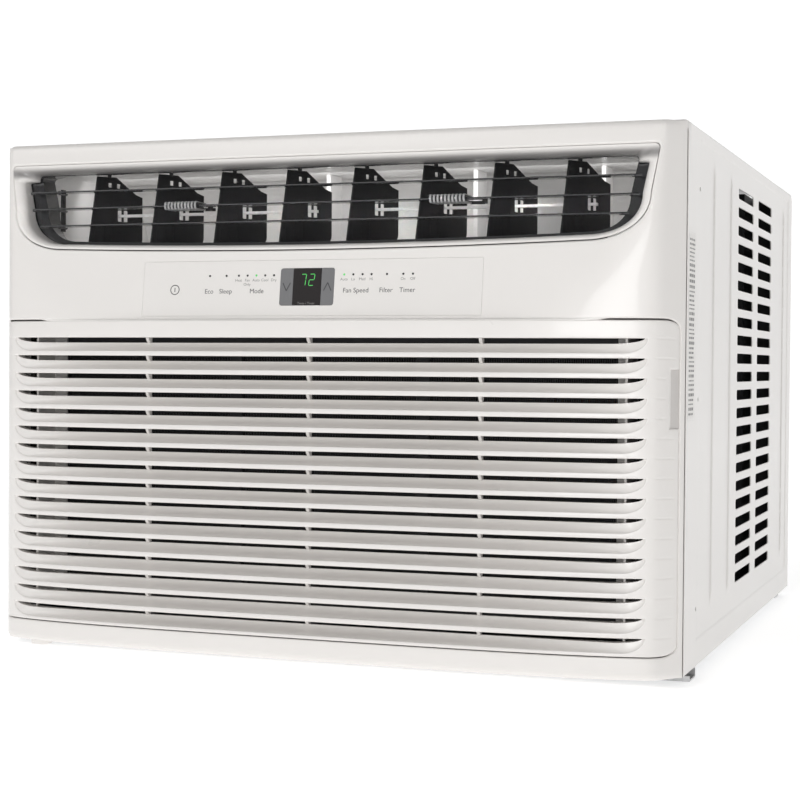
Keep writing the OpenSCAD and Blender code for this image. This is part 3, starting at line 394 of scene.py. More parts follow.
def grid(low, high, step):
    """Points of a staggered grid over a rectangle."""
    columns = max(1, round((high[0] - low[0]) / step))
    rows = max(1, round((high[1] - low[1]) / step))
    wide, tall = (high[0] - low[0]) / columns, (high[1] - low[1]) / rows
    return [(low[0] + (i + 0.5 * (j % 2)) * wide, low[1] + j * tall)
            for j in range(1, rows) for i in range(1, columns)]


def rim(b, surface, loop, r, steps=3):
    """Rounded edge round an outline. Returns the front ring with its flat outline, and the last ring."""
    if r == 0:
        ring = b.add([surface(*p) for p in loop])
        return (ring, loop), (ring, loop)
    away = outward(loop)
    rings = []
    for k in range(steps + 1):
        a = math.pi / 2 * k / steps
        flat = [Vector(p) + d * r * (math.sin(a) - 1) for p, d in zip(loop, away)]
        rings.append((b.add([onto(surface, q.x, q.y, r * (1 - math.cos(a))) for q in flat]), flat))
    for k in range(steps):
        b.bridge(rings[k][0], rings[k + 1][0])
    return rings[0], rings[-1]


def shell(surface, outer, holes=(), t=3.0, r=1.0, step=8.0, extra=()):
    """Closed sheet on a surface. Its outline runs anticlockwise. A hole is (clockwise outline, radius)."""
    b = Build()
    fronts, backs = [], []
    for loop, radius in [(outer, r)] + list(holes):
        front, last = rim(b, surface, loop, radius)
        back = b.add([onto(surface, p[0], p[1], t) for p in loop])
        b.bridge(last[0], back)
        fronts.append(front)
        backs.append((back, loop))
    low = np.min(np.array(outer), axis=0)
    high = np.max(np.array(outer), axis=0)
    inner = grid(low, high, step) + list(extra)
    b.fill([f[0] for f in fronts], [f[1] for f in fronts], inner, surface)
    b.fill([f[0] for f in backs], [f[1] for f in backs], grid(low, high, 2 * step),
           lambda u, v: onto(surface, u, v, t))
    return b


def rounded(x0, z0, x1, z1, r, steps=4, most=12.0):
    """Anticlockwise rectangle with rounded corners, its sides cut into short runs."""
    points = []
    corners = ((x1 - r, z1 - r), (x0 + r, z1 - r), (x0 + r, z0 + r), (x1 - r, z0 + r))
    for turn, (cx, cz) in enumerate(corners):
        for k in range(steps + 1):
            a = math.radians(90 * turn + 90 * k / steps)
            points.append((cx + r * math.cos(a), cz + r * math.sin(a)))
    return split_runs(points, most)


def split_runs(points, most):
    """Add points to a closed outline so that no run is longer than most."""
    result = []
    for i, p in enumerate(points):
        q = points[(i + 1) % len(points)]
        count = max(1, math.ceil(math.dist(p, q) / most))
        result += split_open(p, q, count)[:-1]
    return result


def split_open(p, q, count):
    """Evenly spaced points from one place to another, both included."""
    return [(p[0] + (q[0] - p[0]) * k / count, p[1] + (q[1] - p[1]) * k / count) for k in range(count + 1)]


def clockwise(loop):
    """An anticlockwise outline the other way round."""
    return list(reversed(loop))


weld = 1e-7
flat_weight = 60


def finish_piece(b, name, body, slot, replaces=(), sharp=None, place=None, material=None):
    """Make a piece from gathered rings: faces turned outwards, smooth, with flat areas kept flat."""
    mesh = bpy.data.meshes.new(name)
    points = [place @ Vector(p) for p in b.verts] if place else [Vector(p) for p in b.verts]
    mesh.from_pydata([p * MM for p in points], [], b.faces)
    bm = bmesh.new()
    bm.from_mesh(mesh)
    bmesh.ops.remove_doubles(bm, verts=bm.verts, dist=weld)
    bmesh.ops.recalc_face_normals(bm, faces=bm.faces)
    bm.to_mesh(mesh)
    bm.free()
    piece = bpy.data.objects.new(name, mesh)
    bpy.context.scene.collection.objects.link(piece)
    shade(piece, sharp)
    mesh.materials.append(MAT[material or slot])
    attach(piece, body)
    if replaces:
        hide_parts(*replaces)
    return piece


def shade(piece, sharp=None):
    """Smooth shading, with edges sharper than an angle kept crisp."""
    mesh = piece.data
    mesh.shade_smooth()
    if sharp is not None:
        mesh.set_sharp_from_angle(angle=math.radians(sharp))
    weigh = piece.modifiers.new("even_light", "WEIGHTED_NORMAL")
    weigh.keep_sharp = True
    weigh.weight = flat_weight


def soften(piece, width, segments=2, angle=35):
    """Round the sharp edges of a piece with a modifier."""
    bevel = piece.modifiers.new("edges", "BEVEL")
    bevel.width = width * MM
    bevel.segments = segments
    bevel.limit_method = "ANGLE"
    bevel.angle_limit = math.radians(angle)
    bevel.harden_normals = False
    weigh = piece.modifiers.new("even_light", "WEIGHTED_NORMAL")
    weigh.keep_sharp = True


def prism(b, outline, x0, x1, axis="x"):
    """Solid made by pushing a flat outline along an axis."""
    order = {"x": lambda p, d: (d, p[0], p[1]),
             "y": lambda p, d: (p[0], d, p[1]),
             "z": lambda p, d: (p[0], p[1], d)}
    near = b.add([order[axis](p, x0) for p in outline])
    far = b.add([order[axis](p, x1) for p in outline])
    b.bridge(near, far)
    b.cap(list(reversed(near)))
    b.cap(far)


def brick(b, low, high, r=0.4):
    """Box with its four edges along Y broken."""
    most_r = 0.45 * min(high[0] - low[0], high[2] - low[2])
    prism(b, rounded(low[0], low[2], high[0], high[2], min(r, most_r), 2, WHOLE), low[1], high[1], "y")


def tube(b, path, r, sides=10):
    """Round tube along points."""
    points = [Vector(p) for p in path]
    rings = []
    side = None
    for i, p in enumerate(points):
        ahead = (points[min(i + 1, len(points) - 1)] - points[max(i - 1, 0)]).normalized()
        if side is None:
            side = ahead.orthogonal().normalized()
        side = (side - ahead * side.dot(ahead)).normalized()
        up = ahead.cross(side)
        rings.append(b.add([p + (side * math.cos(a) + up * math.sin(a)) * r
                            for a in (math.tau * k / sides for k in range(sides))]))
    for a, c in zip(rings, rings[1:]):
        b.bridge(a, c)
    b.cap(list(reversed(rings[0])))
    b.cap(rings[-1])


# ---------------------------------------------------------------- front panel
end_soft, end_slope, end_flat = 5.0, 1.5, 3
curve_points = 4001
STEPS = np.linspace(0, math.pi / 2, curve_points)
CURVE_X = half_w * np.sin(STEPS) ** (2 / plan_power)
CURVE_Y = seam_y - panel_depth * np.cos(STEPS) ** (2 / plan_power)
END_Y = seam_y - end_slope * (half_w - CURVE_X)
BLEND = np.clip(0.5 + 0.5 * (END_Y - CURVE_Y) / end_soft, 0, 1)
BULGE = end_soft * BLEND * (1 - BLEND) * (CURVE_X < half_w - end_flat)
CURVE_Y = CURVE_Y + (END_Y - CURVE_Y) * BLEND + BULGE
CURVE_S = np.concatenate([[0], np.cumsum(np.hypot(np.diff(CURVE_X), np.diff(CURVE_Y)))])


def along_plan(x):
    """Distance along the rounded front from its middle to a place across."""
    return math.copysign(float(np.interp(abs(x), CURVE_X, CURVE_S)), x)


def plan_point(s):
    """Place across and depth of the rounded front at a distance along it."""
    return (math.copysign(float(np.interp(abs(s), CURVE_S, CURVE_X)), s),
            float(np.interp(abs(s), CURVE_S, CURVE_Y)))


crease_soft = 5.0
top_r = 8.0
bottom_r = 4.0
roof_drop, seam_drop = 1.5, 1
roof_front_z = cab_top_z - roof_drop
roof_z = cab_top_z - seam_drop
wall_top = roof_front_z - top_r
wall_bottom = panel_bottom_z + bottom_r
roof_len, floor_len = 26.0, 46.0


def wall_y(y_round, z):
    """Depth of the panel's wall: the rounded front, cut back by the leaning face with a soft crease."""
    if z < split_z:
        return y_round
    y_lean = face_y(z)
    h = min(1, max(0, 0.5 + 0.5 * (y_lean - y_round) / crease_soft))
    return y_round + (y_lean - y_round) * h + crease_soft * h * (1 - h)


def panel_surface(s, v):
    """Panel's outer surface. Past the wall's top and bottom, v runs over the roof and floor to the seam."""
    x, y_round = plan_point(s)
    if wall_bottom <= v <= wall_top:
        return Vector((x, wall_y(y_round, v), v))
    top = v > wall_top
    y = wall_y(y_round, wall_top if top else wall_bottom)
    turn_r = top_r if top else bottom_r
    past = (v - wall_top) if top else (wall_bottom - v)
    turn_y = min(turn_r, 0.5 * (panel_back_y - y))
    quarter = turn_r * math.pi / 2
    length = roof_len if top else floor_len
    a = min(1, past / quarter) * math.pi / 2
    y += turn_y * (1 - math.cos(a))
    z = (wall_top + top_r * math.sin(a)) if top else (wall_bottom - bottom_r * math.sin(a))
    if past > quarter:
        w = (past - quarter) / length
        y += (panel_back_y - y) * w
        z += (roof_z - roof_front_z) * w if top else 0
    return Vector((x, y, z))


corner_drop, corner_in, corner_w, corner_power, belly = 41, 6.3, 57, 2.2, 4


def outlet_outline(side, band, steps=14, top_round=4.0):
    """Anticlockwise outline of the air outlet, shrunk by side and band. It is straight along the top."""
    top, half = outlet_top_z - band, outlet_half - side
    cx, low = outlet_half - corner_in - corner_w, outlet_bottom_z + belly + band
    cz, w = outlet_top_z - corner_drop, corner_w - side
    side_steps, bottom_steps, top_steps = 24, 40, 60
    right = []
    for k in range(steps + 1):
        a = math.pi / 2 * k / steps
        right.append((cx + w * math.cos(a) ** (2 / corner_power),
                      cz - (cz - low) * math.sin(a) ** (2 / corner_power)))
    shoulder = [(half - top_round * (1 - math.sin(a)), top - top_round * (1 - math.cos(a)))
                for a in (math.pi / 2 * k / 4 for k in range(5))]
    half_loop = shoulder + split_open(shoulder[-1], right[0], side_steps)[1:-1] + right
    bottom = [(cx * (1 - t), low - belly * (1 - (1 - t) ** 2))
              for t in (k / bottom_steps for k in range(1, bottom_steps + 1))]
    one_side = half_loop + bottom
    other = [(-x, z) for x, z in reversed(one_side[:-1])]
    loop = one_side + other
    top_run = split_open(loop[-1], loop[0], top_steps)[1:-1]
    return clockwise(loop + top_run)


def on_plan(loop):
    """The same outline with its places across measured along the rounded front."""
    return [(along_plan(x), z) for x, z in loop]


fine_gap, outlet_gap, film_gap = 0.8, 0.3, 0.1
grille_corner_r = 9


def front_panel():
    """Moulded front, with openings for the grille, the air outlet and the control film."""
    edge = float(np.interp(panel_back_y, CURVE_Y, CURVE_S))
    v_top = wall_top + top_r * math.pi / 2 + roof_len
    v_bottom = wall_bottom - bottom_r * math.pi / 2 - floor_len
    run = 6
    outer = split_runs([(edge, v_bottom), (edge, v_top), (-edge, v_top), (-edge, v_bottom)], run)
    grille_x = grille_high.x + fine_gap
    recess_r = grille_corner_r + fine_gap
    recess = rounded(-grille_x, grille_low.z - fine_gap, grille_x, split_z, recess_r, 6, 5)
    outlet = outlet_outline(-outlet_gap, -outlet_gap)
    film_x, film_up = film_half + film_gap, (film_h / 2 + film_gap) * math.cos(lean)
    film = rounded(-film_x, film_z - film_up, film_x, film_z + film_up, 1.2, 3, run)
    lines = []
    top_steps = 12
    for k in range(top_steps + 1):
        v = wall_top + top_r * math.pi / 2 * k / top_steps
        lines += [(s, v) for s in np.arange(-edge + 4, edge, run)]
    holes = [(on_plan(clockwise(loop)), r) for loop, r in ((recess, 1.2), (outlet, 2.2), (film, 0.15))]
    b = shell(panel_surface, outer, holes, panel_t, 0.8, 4.0, lines)
    return finish_piece(b, "panel_casing", "chassis", "panel_plastic", ("front_panel",))


def panel_rim():
    """Frame behind the grille that the panel is screwed through."""
    y = seam_y - 8.5
    half, inner, over, under, edge = grille_high.x - 4, 303, 3, 2, 0.8
    opening = rounded(-inner, strip_z + under, inner, split_z - under, 4)
    b = shell(lambda x, z: Vector((x, y, z)),
              rounded(-half, strip_z - over, half, split_z + over, grille_corner_r),
              [(clockwise(opening), edge)], panel_t, edge, 40)
    # Painted shade: the frame takes the darker recess material
    return finish_piece(b, "panel_rim", "chassis", "panel_plastic", material="recess_painted_shade")


# ---------------------------------------------------------------- intake grille
slat_pitch, slat_band, slat_gap, slat_rows = 16.8, 4.5, 4.7, 16
row_tip, row_flat, gap_tip, gap_flat = 305.5, 285.5, 303.0, 273.0
rib_places = (-161, 0, 161)
notch_z, notch_h, notch_in = cab_z + 211, 50, 6
groove_x0, groove_x1, groove_deep, groove_half = 311, 326, 0.5, 0.9
gap_y = front_y + 17
grille_back_y = front_y + 37
grille_wall, least_wall = 19, 2.5


def row_outline(z, drop, tip, flat, count=90, corner=12):
    """Opening of a row: straight top at z, straight bottom, quarter-ellipse ends, clockwise."""
    top = [(-tip + 2 * tip * k / count, z) for k in range(count)]
    right = [(flat + (tip - flat) * math.cos(a), z - drop * math.sin(a))
             for a in (math.pi / 2 * k / corner for k in range(corner))]
    bottom = [(flat - 2 * flat * k / count, z - drop) for k in range(count)]
    left = [(-flat - (tip - flat) * math.sin(a), z - drop * math.cos(a))
            for a in (math.pi / 2 * k / corner for k in range(corner))]
    return top + right + bottom + left


def back_y(x):
    """Depth of the grille's back face."""
    inner = half_w - 4
    share = 1 - min(1, abs(x) / inner) ** plan_power
    hollow = min(seam_y - (panel_depth - grille_wall) * share ** (1 / plan_power), grille_back_y)
    return max(hollow, float(np.interp(abs(x), CURVE_X, CURVE_Y)) + least_wall)


def grille_surface(s, z):
    """Grille's outer surface, with a fine groove per row on its flanks."""
    x, y = plan_point(s)
    if groove_x0 < abs(x) < groove_x1:
        off = abs((split_z - z) % slat_pitch)
        off = min(off, slat_pitch - off)
        y += groove_deep * max(0, 1 - off / groove_half)
    return Vector((x, y, z))


def intake_grille():
    """Grille's face: sixteen rows, each a scoop that curves back and up to a narrow gap."""
    half = grille_high.x
    z0, z1 = grille_low.z, split_z - grille_gap
    outer = rounded(-half, z0, half, z1, grille_corner_r, 8, WHOLE)
    notch_top, notch_x = notch_z + notch_h, half - notch_in
    notch = [(half, notch_z), (notch_x, notch_z), (notch_x, notch_top), (half, notch_top)]
    # The outline starts on its right side, above the notch, and runs anticlockwise
    left = [(-p[0], p[1]) for p in reversed(notch)]
    middle = next(i for i, p in enumerate(outer) if p[0] < -half + 0.01) + 1
    loop = outer[:middle] + left + outer[middle:] + notch
    loop = split_runs(loop, 5)
    b = Build()
    edge_r, mouth_r, mouth_steps, scoop_steps, least_scoop = 1.2, 0.9, 2, 6, 0.8
    front, last = rim(b, grille_surface, on_plan(loop), edge_r)
    fronts, backs = [front], []
    back = b.add([(x, back_y(x), z) for x, z in loop])
    b.bridge(last[0], back)
    backs.append((back, loop))
    for row in range(1, slat_rows + 1):
        z = split_z - row * slat_pitch
        mouth = row_outline(z, slat_pitch - slat_band, row_tip, row_flat)
        slot = row_outline(z, slat_gap, gap_tip, gap_flat)
        front, last = rim(b, grille_surface, on_plan(mouth), mouth_r, mouth_steps)
        fronts.append(front)
        start = [Vector(b.verts[i]) for i in last[0]]
        before = last[0]
        for k in range(1, scoop_steps + 1):
            a = math.pi / 2 * k / scoop_steps
            w = 1 - math.cos(a)
            ring = []
            for p, q in zip(start, slot):
                deep = max(gap_y, p.y + least_scoop)
                ring.append((p.x + (q[0] - p.x) * w,
                             p.y + (deep - p.y) * math.sin(a),
                             p.z + (q[1] - p.z) * w))
            ring = b.add(ring)
            b.bridge(before, ring)
            before = ring
        behind = b.add([(x, back_y(x), zz) for x, zz in slot])
        b.bridge(before, behind)
        backs.append((behind, slot))
    extra = []
    flank = np.arange(groove_x0, groove_x1 + 0.1, 2.5)
    for row in range(0, slat_rows + 1):
        z = split_z - row * slat_pitch
        for dz in np.arange(-2, 3) * groove_half:
            extra += [(along_plan(s * x), z + dz) for x in flank for s in (-1, 1)]
    wide = along_plan(half)
    inner = grid((-wide, z0), (wide, z1), 6)
    # Points of the plain grid stay away from the grooves' own points
    inner = [p for p in inner if abs((split_z - p[1]) % slat_pitch - slat_pitch / 2) < slat_pitch / 2 - 3 or
             abs(plan_point(p[0])[0]) < groove_x0 - 2]
    b.fill([f[0] for f in fronts], [f[1] for f in fronts], inner + extra, grille_surface)
    b.fill([f[0] for f in backs], [f[1] for f in backs], grid((-half, z0), (half, z1), 14),
           lambda x, z: Vector((x, back_y(x), z)))
    return finish_piece(b, "grille_face", "grille", "panel_plastic", ("intake_grille",), 50)


def grille_ribs():
    """Upright webs across the gaps, the filter's rails, and the floors of the finger notches."""
    b = Build()
    web_half, web_front, web_back, web_steps = 1.4, 4.5, 3, 6
    over, under, low_end = 0.4, 1.2, 0.8
    for row in range(1, slat_rows + 1):
        z = split_z - row * slat_pitch
        front = [(gap_y - web_front + web_front * t ** 2, z + over - (slat_gap + under) * t)
                 for t in (k / web_steps for k in range(web_steps + 1))]
        outline = [(gap_y + web_back, z + over)] + front + [(gap_y + web_back, z - slat_gap - low_end)]
        for x in rib_places:
            prism(b, outline, x - web_half, x + web_half)
    filter_low, filter_high = span("filter_frame")
    rail_clear, rail_t, lip_t, lip_w, foot_w, foot_t, lip_front = 1, 2, 2, 13, 8, 2, 3
    edge = filter_high.x + rail_clear
    low_z, high_z = filter_low.z - rail_clear, filter_high.z
    y0, y1 = filter_low.y - lip_front, filter_high.y + rail_clear
    for s in (-1, 1):
        x0, x1 = sorted((s * edge, s * (edge + rail_t)))
        brick(b, (x0, front_y + 27, low_z), (x1, y1 + lip_t, high_z))
        for y in (y0, y1):
            lip0, lip1 = sorted((s * (edge - lip_w), s * edge))
            brick(b, (lip0, y, low_z), (lip1, y + lip_t, high_z))
        foot0, foot1 = sorted((s * (edge - foot_w), s * (edge + rail_t)))
        brick(b, (foot0, y0, low_z - foot_t), (foot1, y1 + lip_t, low_z))
    finish_piece(b, "grille_ribs", "grille", "panel_plastic", (), 40)
    floor = Build()
    sunk, floor_t, beyond = 3, 1.5, 1.5
    across = np.linspace(grille_high.x - notch_in - 2, grille_high.x - 0.4, 7)
    for s in (-1, 1):
        skin = [(s * x, float(np.interp(x, CURVE_X, CURVE_Y))) for x in across]
        outline = [(x, y + sunk) for x, y in skin] + [(x, y + sunk + floor_t) for x, y in reversed(skin)]
        prism(floor, outline, notch_z - beyond, notch_z + notch_h + beyond, "z")
    # Painted shade: the notch floors take the darker recess material
    return finish_piece(floor, "notch_floor", "grille", "panel_plastic", (), 40, None, "recess_painted_shade")


# ---------------------------------------------------------------- air outlet
bezel_side, bezel_band = 22, 9
bezel_back_y = bezel_high.y
throat_y = front_y + 42
top_fade_from, top_fade = 14, 8
end_fade_from, end_fade = 262, 26
lip_drop, lip_drop_top = 8, 6
lip_steps, lip_t = 8, 2.0
lip_share_top, lip_share_low, lip_share_corner = 0.93, 0.55, 0.38


def lip_share(x, z):
    """How far into the flare its pale part reaches: nearly all of it on top, less elsewhere."""
    top = smooth((z - (outlet_top_z - top_fade_from)) / top_fade)
    corner = smooth((abs(x) - (outlet_half - corner_in - corner_w)) / corner_w)
    return top * lip_share_top + (1 - top) * (lip_share_low - (lip_share_low - lip_share_corner) * corner)


def outlet_bezel():
    """Outlet's frame: a pale lip that rolls inwards, then a black throat behind the louvres."""
    outer, inner = outlet_outline(outlet_gap, outlet_gap), outlet_outline(bezel_side, bezel_band)
    ends = [lip_share(*p) for p in outer]
    tops = [smooth((p[1] - (outlet_top_z - top_fade_from)) / top_fade) for p in outer]
    sides = [smooth((abs(q[0]) - end_fade_from) / end_fade) for q in inner]
    skins = [panel_surface(along_plan(p[0]), min(p[1], wall_top)).y + 1.1 for p in outer]
    inset = 0.06

    def ring(b, share_of, y_of):
        """Ring at a share of the way from the outer outline to the inner one."""
        points = []
        for i, (p, q) in enumerate(zip(outer, inner)):
            share = share_of(ends[i])
            points.append((p[0] + (q[0] - p[0]) * share, y_of(i), p[1] + (q[1] - p[1]) * share))
        return b.add(points)

    def rolled(b, k, inset, back):
        """Ring of the lip's quarter roll, on its face or behind it."""
        a = math.pi / 2 * k / lip_steps
        return ring(b, lambda e: (e - inset) * math.sin(a),
                    lambda i: skins[i] + back + (lip_drop + lip_drop_top * tops[i]) * (1 - math.cos(a)))

    lip = Build()
    rings = [rolled(lip, k, 0, 0) for k in range(lip_steps + 1)]
    rings.append(ring(lip, lambda e: e, lambda i: throat_y))
    rings.append(ring(lip, lambda e: e - inset, lambda i: throat_y))
    rings += [rolled(lip, k, inset, lip_t) for k in (6, 3, 0)]
    for a, c in zip(rings, rings[1:] + rings[:1]):
        lip.bridge(a, c)
    # The lip's material carries painted shade along its top
    finish_piece(lip, "outlet_lip", "chassis", "panel_plastic", ("outlet_bezel",), 60, None, "lip_plastic_painted_shade")
    throat = Build()
    # The throat's collar: how far in past the lip's end, and how far behind its back
    collar = ((-0.03, 2.2), (-0.03, 0.2), (0.004, 0.2), (0.012, -1.6), (0.03, -1.6), (0.05, 0))
    end, end_wall, wall_steps, side_reach, bend = 0.95, 0.965, 4, 19, 0.3
    rings = [ring(throat, lambda e, far=far: e + far, lambda i, back=back: throat_y + back)
             for far, back in collar]
    rings += [ring(throat, lambda e, k=k: e + 0.05 + (end - e) * k / wall_steps,
                   lambda i, k=k: throat_y + bend * k * sides[i]) for k in range(1, wall_steps + 1)]
    for share in (1, end_wall):
        rings.append(ring(throat, lambda e, share=share: share,
                          lambda i: bezel_back_y + side_reach * sides[i]))
    rings.append(ring(throat, lambda e: end_wall, lambda i: throat_y + collar[0][1]))
    for a, c in zip(rings, rings[1:] + rings[:1]):
        throat.bridge(a, c)
    return finish_piece(throat, "outlet_throat", "chassis", "dark_gloss", (), 60)


def louvre(name):
    """Slim blade with rounded edges, end pins and the ear for its link."""
    low, high = span(name)
    z = (low.z + high.z) / 2
    y = louvre_y
    half = high.x - 1
    thick, depth = 1.0, 8.0
    nose_y, nose_z, tail_y, tail_z, turn, points = 1.1, 0.75, 0.8, 0.6, 1.57, 7
    section = [(y - depth + nose_y - nose_y * math.cos(a), z + nose_z * math.sin(a))
               for a in np.linspace(-turn, turn, points)]
    section += [(y + depth - tail_y + tail_y * math.cos(a), z + tail_z * math.sin(a))
                for a in np.linspace(turn, -turn, points)]
    section.insert(points, (y, z + thick))
    section.append((y, z - thick))
    b = Build()
    prism(b, section, -half, half)
    pivot_root, pivot_out, pivot_r = 3, 5.5, 1.45
    for s in (-1, 1):
        tube(b, [(s * (half - pivot_root), y, z), (s * (half + pivot_out), y, z)], pivot_r, 14)
    link_low, link_high = span("louver_link")
    arm, ear_h, ear_gap, ear_t, pin_r = 12, 2, 0.6, 2.4, 1.4
    ear = [(y, z - ear_h), (y + arm, z - ear_h), (y + arm + ear_h, z), (y + arm, z + ear_h), (y, z + ear_h)]
    prism(b, ear, link_high.x + ear_gap, link_high.x + ear_gap + ear_t)
    tube(b, [(link_low.x - 0.9, y + arm, z), (link_high.x + 2, y + arm, z)], pin_r, 12)
    return finish_piece(b, "blade_" + name, name, "dark_gloss", (name,), 45)


mid_low, mid_high = span("louver_middle")
louvre_y = front_y + 32
mid_z = (mid_low.z + mid_high.z) / 2
vane_y = seam_y + 20
vane_rest = math.radians(35)
vane_back, vane_front = 35, 22
link_r = 14


def vane(i):
    """Guide vane: thin plate with two small windows near its top and one beside its pivot."""
    name = f"vane_{i + 1}"
    low, high = span(name)
    pin_low, pin_high = low.z, high.z
    z0, z1 = pin_low + 5, pin_high - 5
    x = vane_x[i]
    outline = [(-vane_front, z0)]
    corner = 8
    outline += [(vane_back - corner + corner * math.sin(a), z0 + corner - corner * math.cos(a))
                for a in np.linspace(0, 1.57, 6)]
    outline += [(vane_back, z1 - 18), (vane_back - 7, z1 - 15.5), (7, z1), (-vane_front + 9, z1)]
    link_z, eye, plate_t = mid_z - 3, 5.5, 2.0
    holes = [rounded(7.5, z1 - 10.5, 11.5, z1 - 6, 0.5, 1), rounded(-1.5, z1 - 10, 2.5, z1 - 5.5, 0.5, 1),
             rounded(link_r - eye, link_z - eye, link_r + eye, link_z + eye, 0.8, 1)]
    plate = shell(lambda y, z: Vector((plate_t / 2, y, z)), split_runs(outline, 8),
                  [(clockwise(h), 0.3) for h in holes], plate_t, 0.5, 8)
    pin_r, root = 1.95, 1
    tube(plate, [(0, 0, pin_low), (0, 0, z0 + root)], pin_r, 14)
    tube(plate, [(0, 0, z1 - root), (0, 0, pin_high)], pin_r, 14)
    tube(plate, [(0, link_r, link_z - 6), (0, link_r, link_z + 6)], 1.2, 12)
    rib_pitch, rib_first, rib_grow = 9, 11, 6
    for k in range(3):
        y = -vane_front + 6 + rib_pitch * k
        brick(plate, (-1.5, y, z0 + 3), (1.5, y + 1, z0 + 3 + rib_first + rib_grow * k), 0.2)
    place = Matrix.Translation((x, vane_y, 0)) @ Matrix.Rotation(-vane_rest, 4, "Z")
    return finish_piece(plate, f"blade_{name}", name, "black_plastic", (name,), 45, place)


def pin_centre(i):
    """A vane's pivot, from the holes' spacing across the duct."""
    return (i - 3.5) * vane_pitch


wall_t = 2
duct_half = span("outlet_duct")[1].x - wall_t
end_room = 25.2
vane_pitch = 2 * (duct_half - end_room) / 8
vane_x = [pin_centre(i) for i in range(8)]


def grip(side, peg_x):
    """Ribbed thumb grip that slides on the middle louvre, with a dark arm to its vane."""
    name = f"grip_{side}"
    low = span(name)[0]
    x0 = low.x
    x1 = x0 + 34
    y0, z = low.y, mid_z
    ridges, front, back, jaw = 10, 2.6, 23.4, 1.5
    pitch = (x1 - x0) / ridges

    def section(h, d):
        """Outline across the grip: a round front, and a fork behind it for the louvre's blade."""
        nose = [(y0 + front - d * math.cos(a), z + h * math.sin(a)) for a in np.linspace(-1.57, 1.57, 9)]
        upper = [(y0 + back - 0.9, z + h * 0.9), (y0 + back, z + jaw), (y0 + front + 0.8, z + jaw)]
        return nose + upper + [(y, 2 * z - height) for y, height in reversed(upper)]

    core = Build()
    prism(core, section(2.6, 1.6), x0 + 0.5, x1 - 0.5)
    finish_piece(core, f"core_{name}", name, "black_plastic", (name,), 40)
    b = Build()
    for k in range(ridges):
        middle = x0 + (k + 0.5) * pitch
        prism(b, section(3.7, 2.5), middle - 0.8, middle + 0.8)
    finish_piece(b, f"ridges_{name}", name, "grip_grey", (), 40)
    arm = Build()
    tail, arm_drop, arm_r, peg_r = louvre_y + 11.5, 2.6, 1.6, 2.5
    tube(arm, [(x1 - 2, tail, z - 2.4), (x1 + 8, tail, z - arm_drop), (peg_x, tail, z - arm_drop)], arm_r, 10)
    tube(arm, [(peg_x, tail, z - arm_drop - 1), (peg_x, tail, z + 1)], peg_r, 16)
    finish_piece(arm, f"arm_{name}", name, "black_plastic", (), 40)


def duct_details():
    """Ribs, low steps, a curved guide and bosses inside the outlet, behind and below the vanes."""
    low, high = span("outlet_duct")
    floor_z, roof = low.z + 2, high.z - 2
    b = Build()
    stays, stay_half, stay_y0, stay_y1 = (-30, 118, -205, 240), 2, vane_y + 62, vane_y + 90
    for x in stays:
        brick(b, (x - stay_half, stay_y0, floor_z), (x + stay_half, stay_y1, roof), 0.5)
    step_half, step_h = 9, 1.6
    for x in vane_x:
        brick(b, (x - step_half, louvre_y + 14.5, floor_z),
              (x + step_half, vane_y - 24, floor_z + step_h), 0.5)
    finish_piece(b, "duct_ribs", "chassis", "duct_plastic", (), 40)
    guide = Build()
    guide_back, guide_run, clear, guide_t, side_clear = 6, 84, 0.5, 2.5, 0.6
    arc = [(high.y - guide_back - guide_run * (1 - math.cos(a)),
            floor_z + clear + (roof - floor_z - 2 * clear) * math.sin(a))
           for a in np.linspace(0, math.pi / 2, 13)]
    guide_half = duct_half - side_clear
    prism(guide, arc + [(y + guide_t, z) for y, z in reversed(arc)], -guide_half, guide_half)
    rib_pitch, rib_h, rib_root, rib_half = 73, 2.2, 0.5, 1.3
    rib = [(y - rib_h, z) for y, z in arc] + [(y + rib_root, z) for y, z in reversed(arc)]
    for x in np.arange(-duct_half + rib_pitch / 2, duct_half - 30, rib_pitch):
        prism(guide, rib, x - rib_half, x + rib_half)
    finish_piece(guide, "duct_guide", "chassis", "duct_plastic", (), 40)
    c = Build()
    boss_y, boss_h, boss_r, boss_out = louvre_y + 16.5, 2.6, 1.6, 6.5
    for x in vane_x:
        for dx in (-boss_out, boss_out):
            tube(c, [(x + dx, boss_y, floor_z), (x + dx, boss_y, floor_z + boss_h)], boss_r, 12)
    finish_piece(c, "duct_bosses", "chassis", "black_plastic", (), 40)


# ---------------------------------------------------------------- controls
FACE = Matrix.Translation((0, face_y(film_z), film_z)) @ Matrix.Rotation(-lean, 4, "X")
block_half, lens_half, block_h, block_dz = 26, 13.4, 33.7, 0.9
led_dz, label_dz, key_h, led_r, led_gap = 11.6, -2.9, 9, 0.95, 0.1
# Places across of the lights: Eco, Sleep, five for Mode, four for Fan Speed, Filter, two for Timer
led_x = [-96.3, -79.7, -67.4, -58.7, -50, -41.4, -32.7, 35.2, 43.8, 52.5, 61, 75.4, 90.7, 99.6]
led_lit = (4, 7)
pad_w = block_half - lens_half - 0.6
pad_x = (block_half + lens_half) / 2 + 0.1
key_gap = 0.02
# Each key's place across and width, its place up the control face and height
KEYS = {
    "power": (-131, 13, label_dz + 2, 13),
    "eco": (-96.3, 14, label_dz, key_h),
    "sleep": (-79.7, 15, label_dz, key_h),
    "mode": (-48.9, 16, label_dz, key_h),
    "temp_down": (-pad_x, pad_w, block_dz, block_h - 2),
    "temp_up": (pad_x, pad_w, block_dz, block_h - 2),
    "fan_speed": (46.8, 26, label_dz, key_h),
    "filter": (75.2, 14, label_dz, key_h),
    "timer": (95.1, 14, label_dz, key_h),
}


def plate_outline(x, w, z, h, grow, r):
    """Rounded rectangle about a place on the control face, grown on every side."""
    return rounded(x - w / 2 - grow, z - h / 2 - grow, x + w / 2 + grow, z + h / 2 + grow, r, 3, WHOLE)


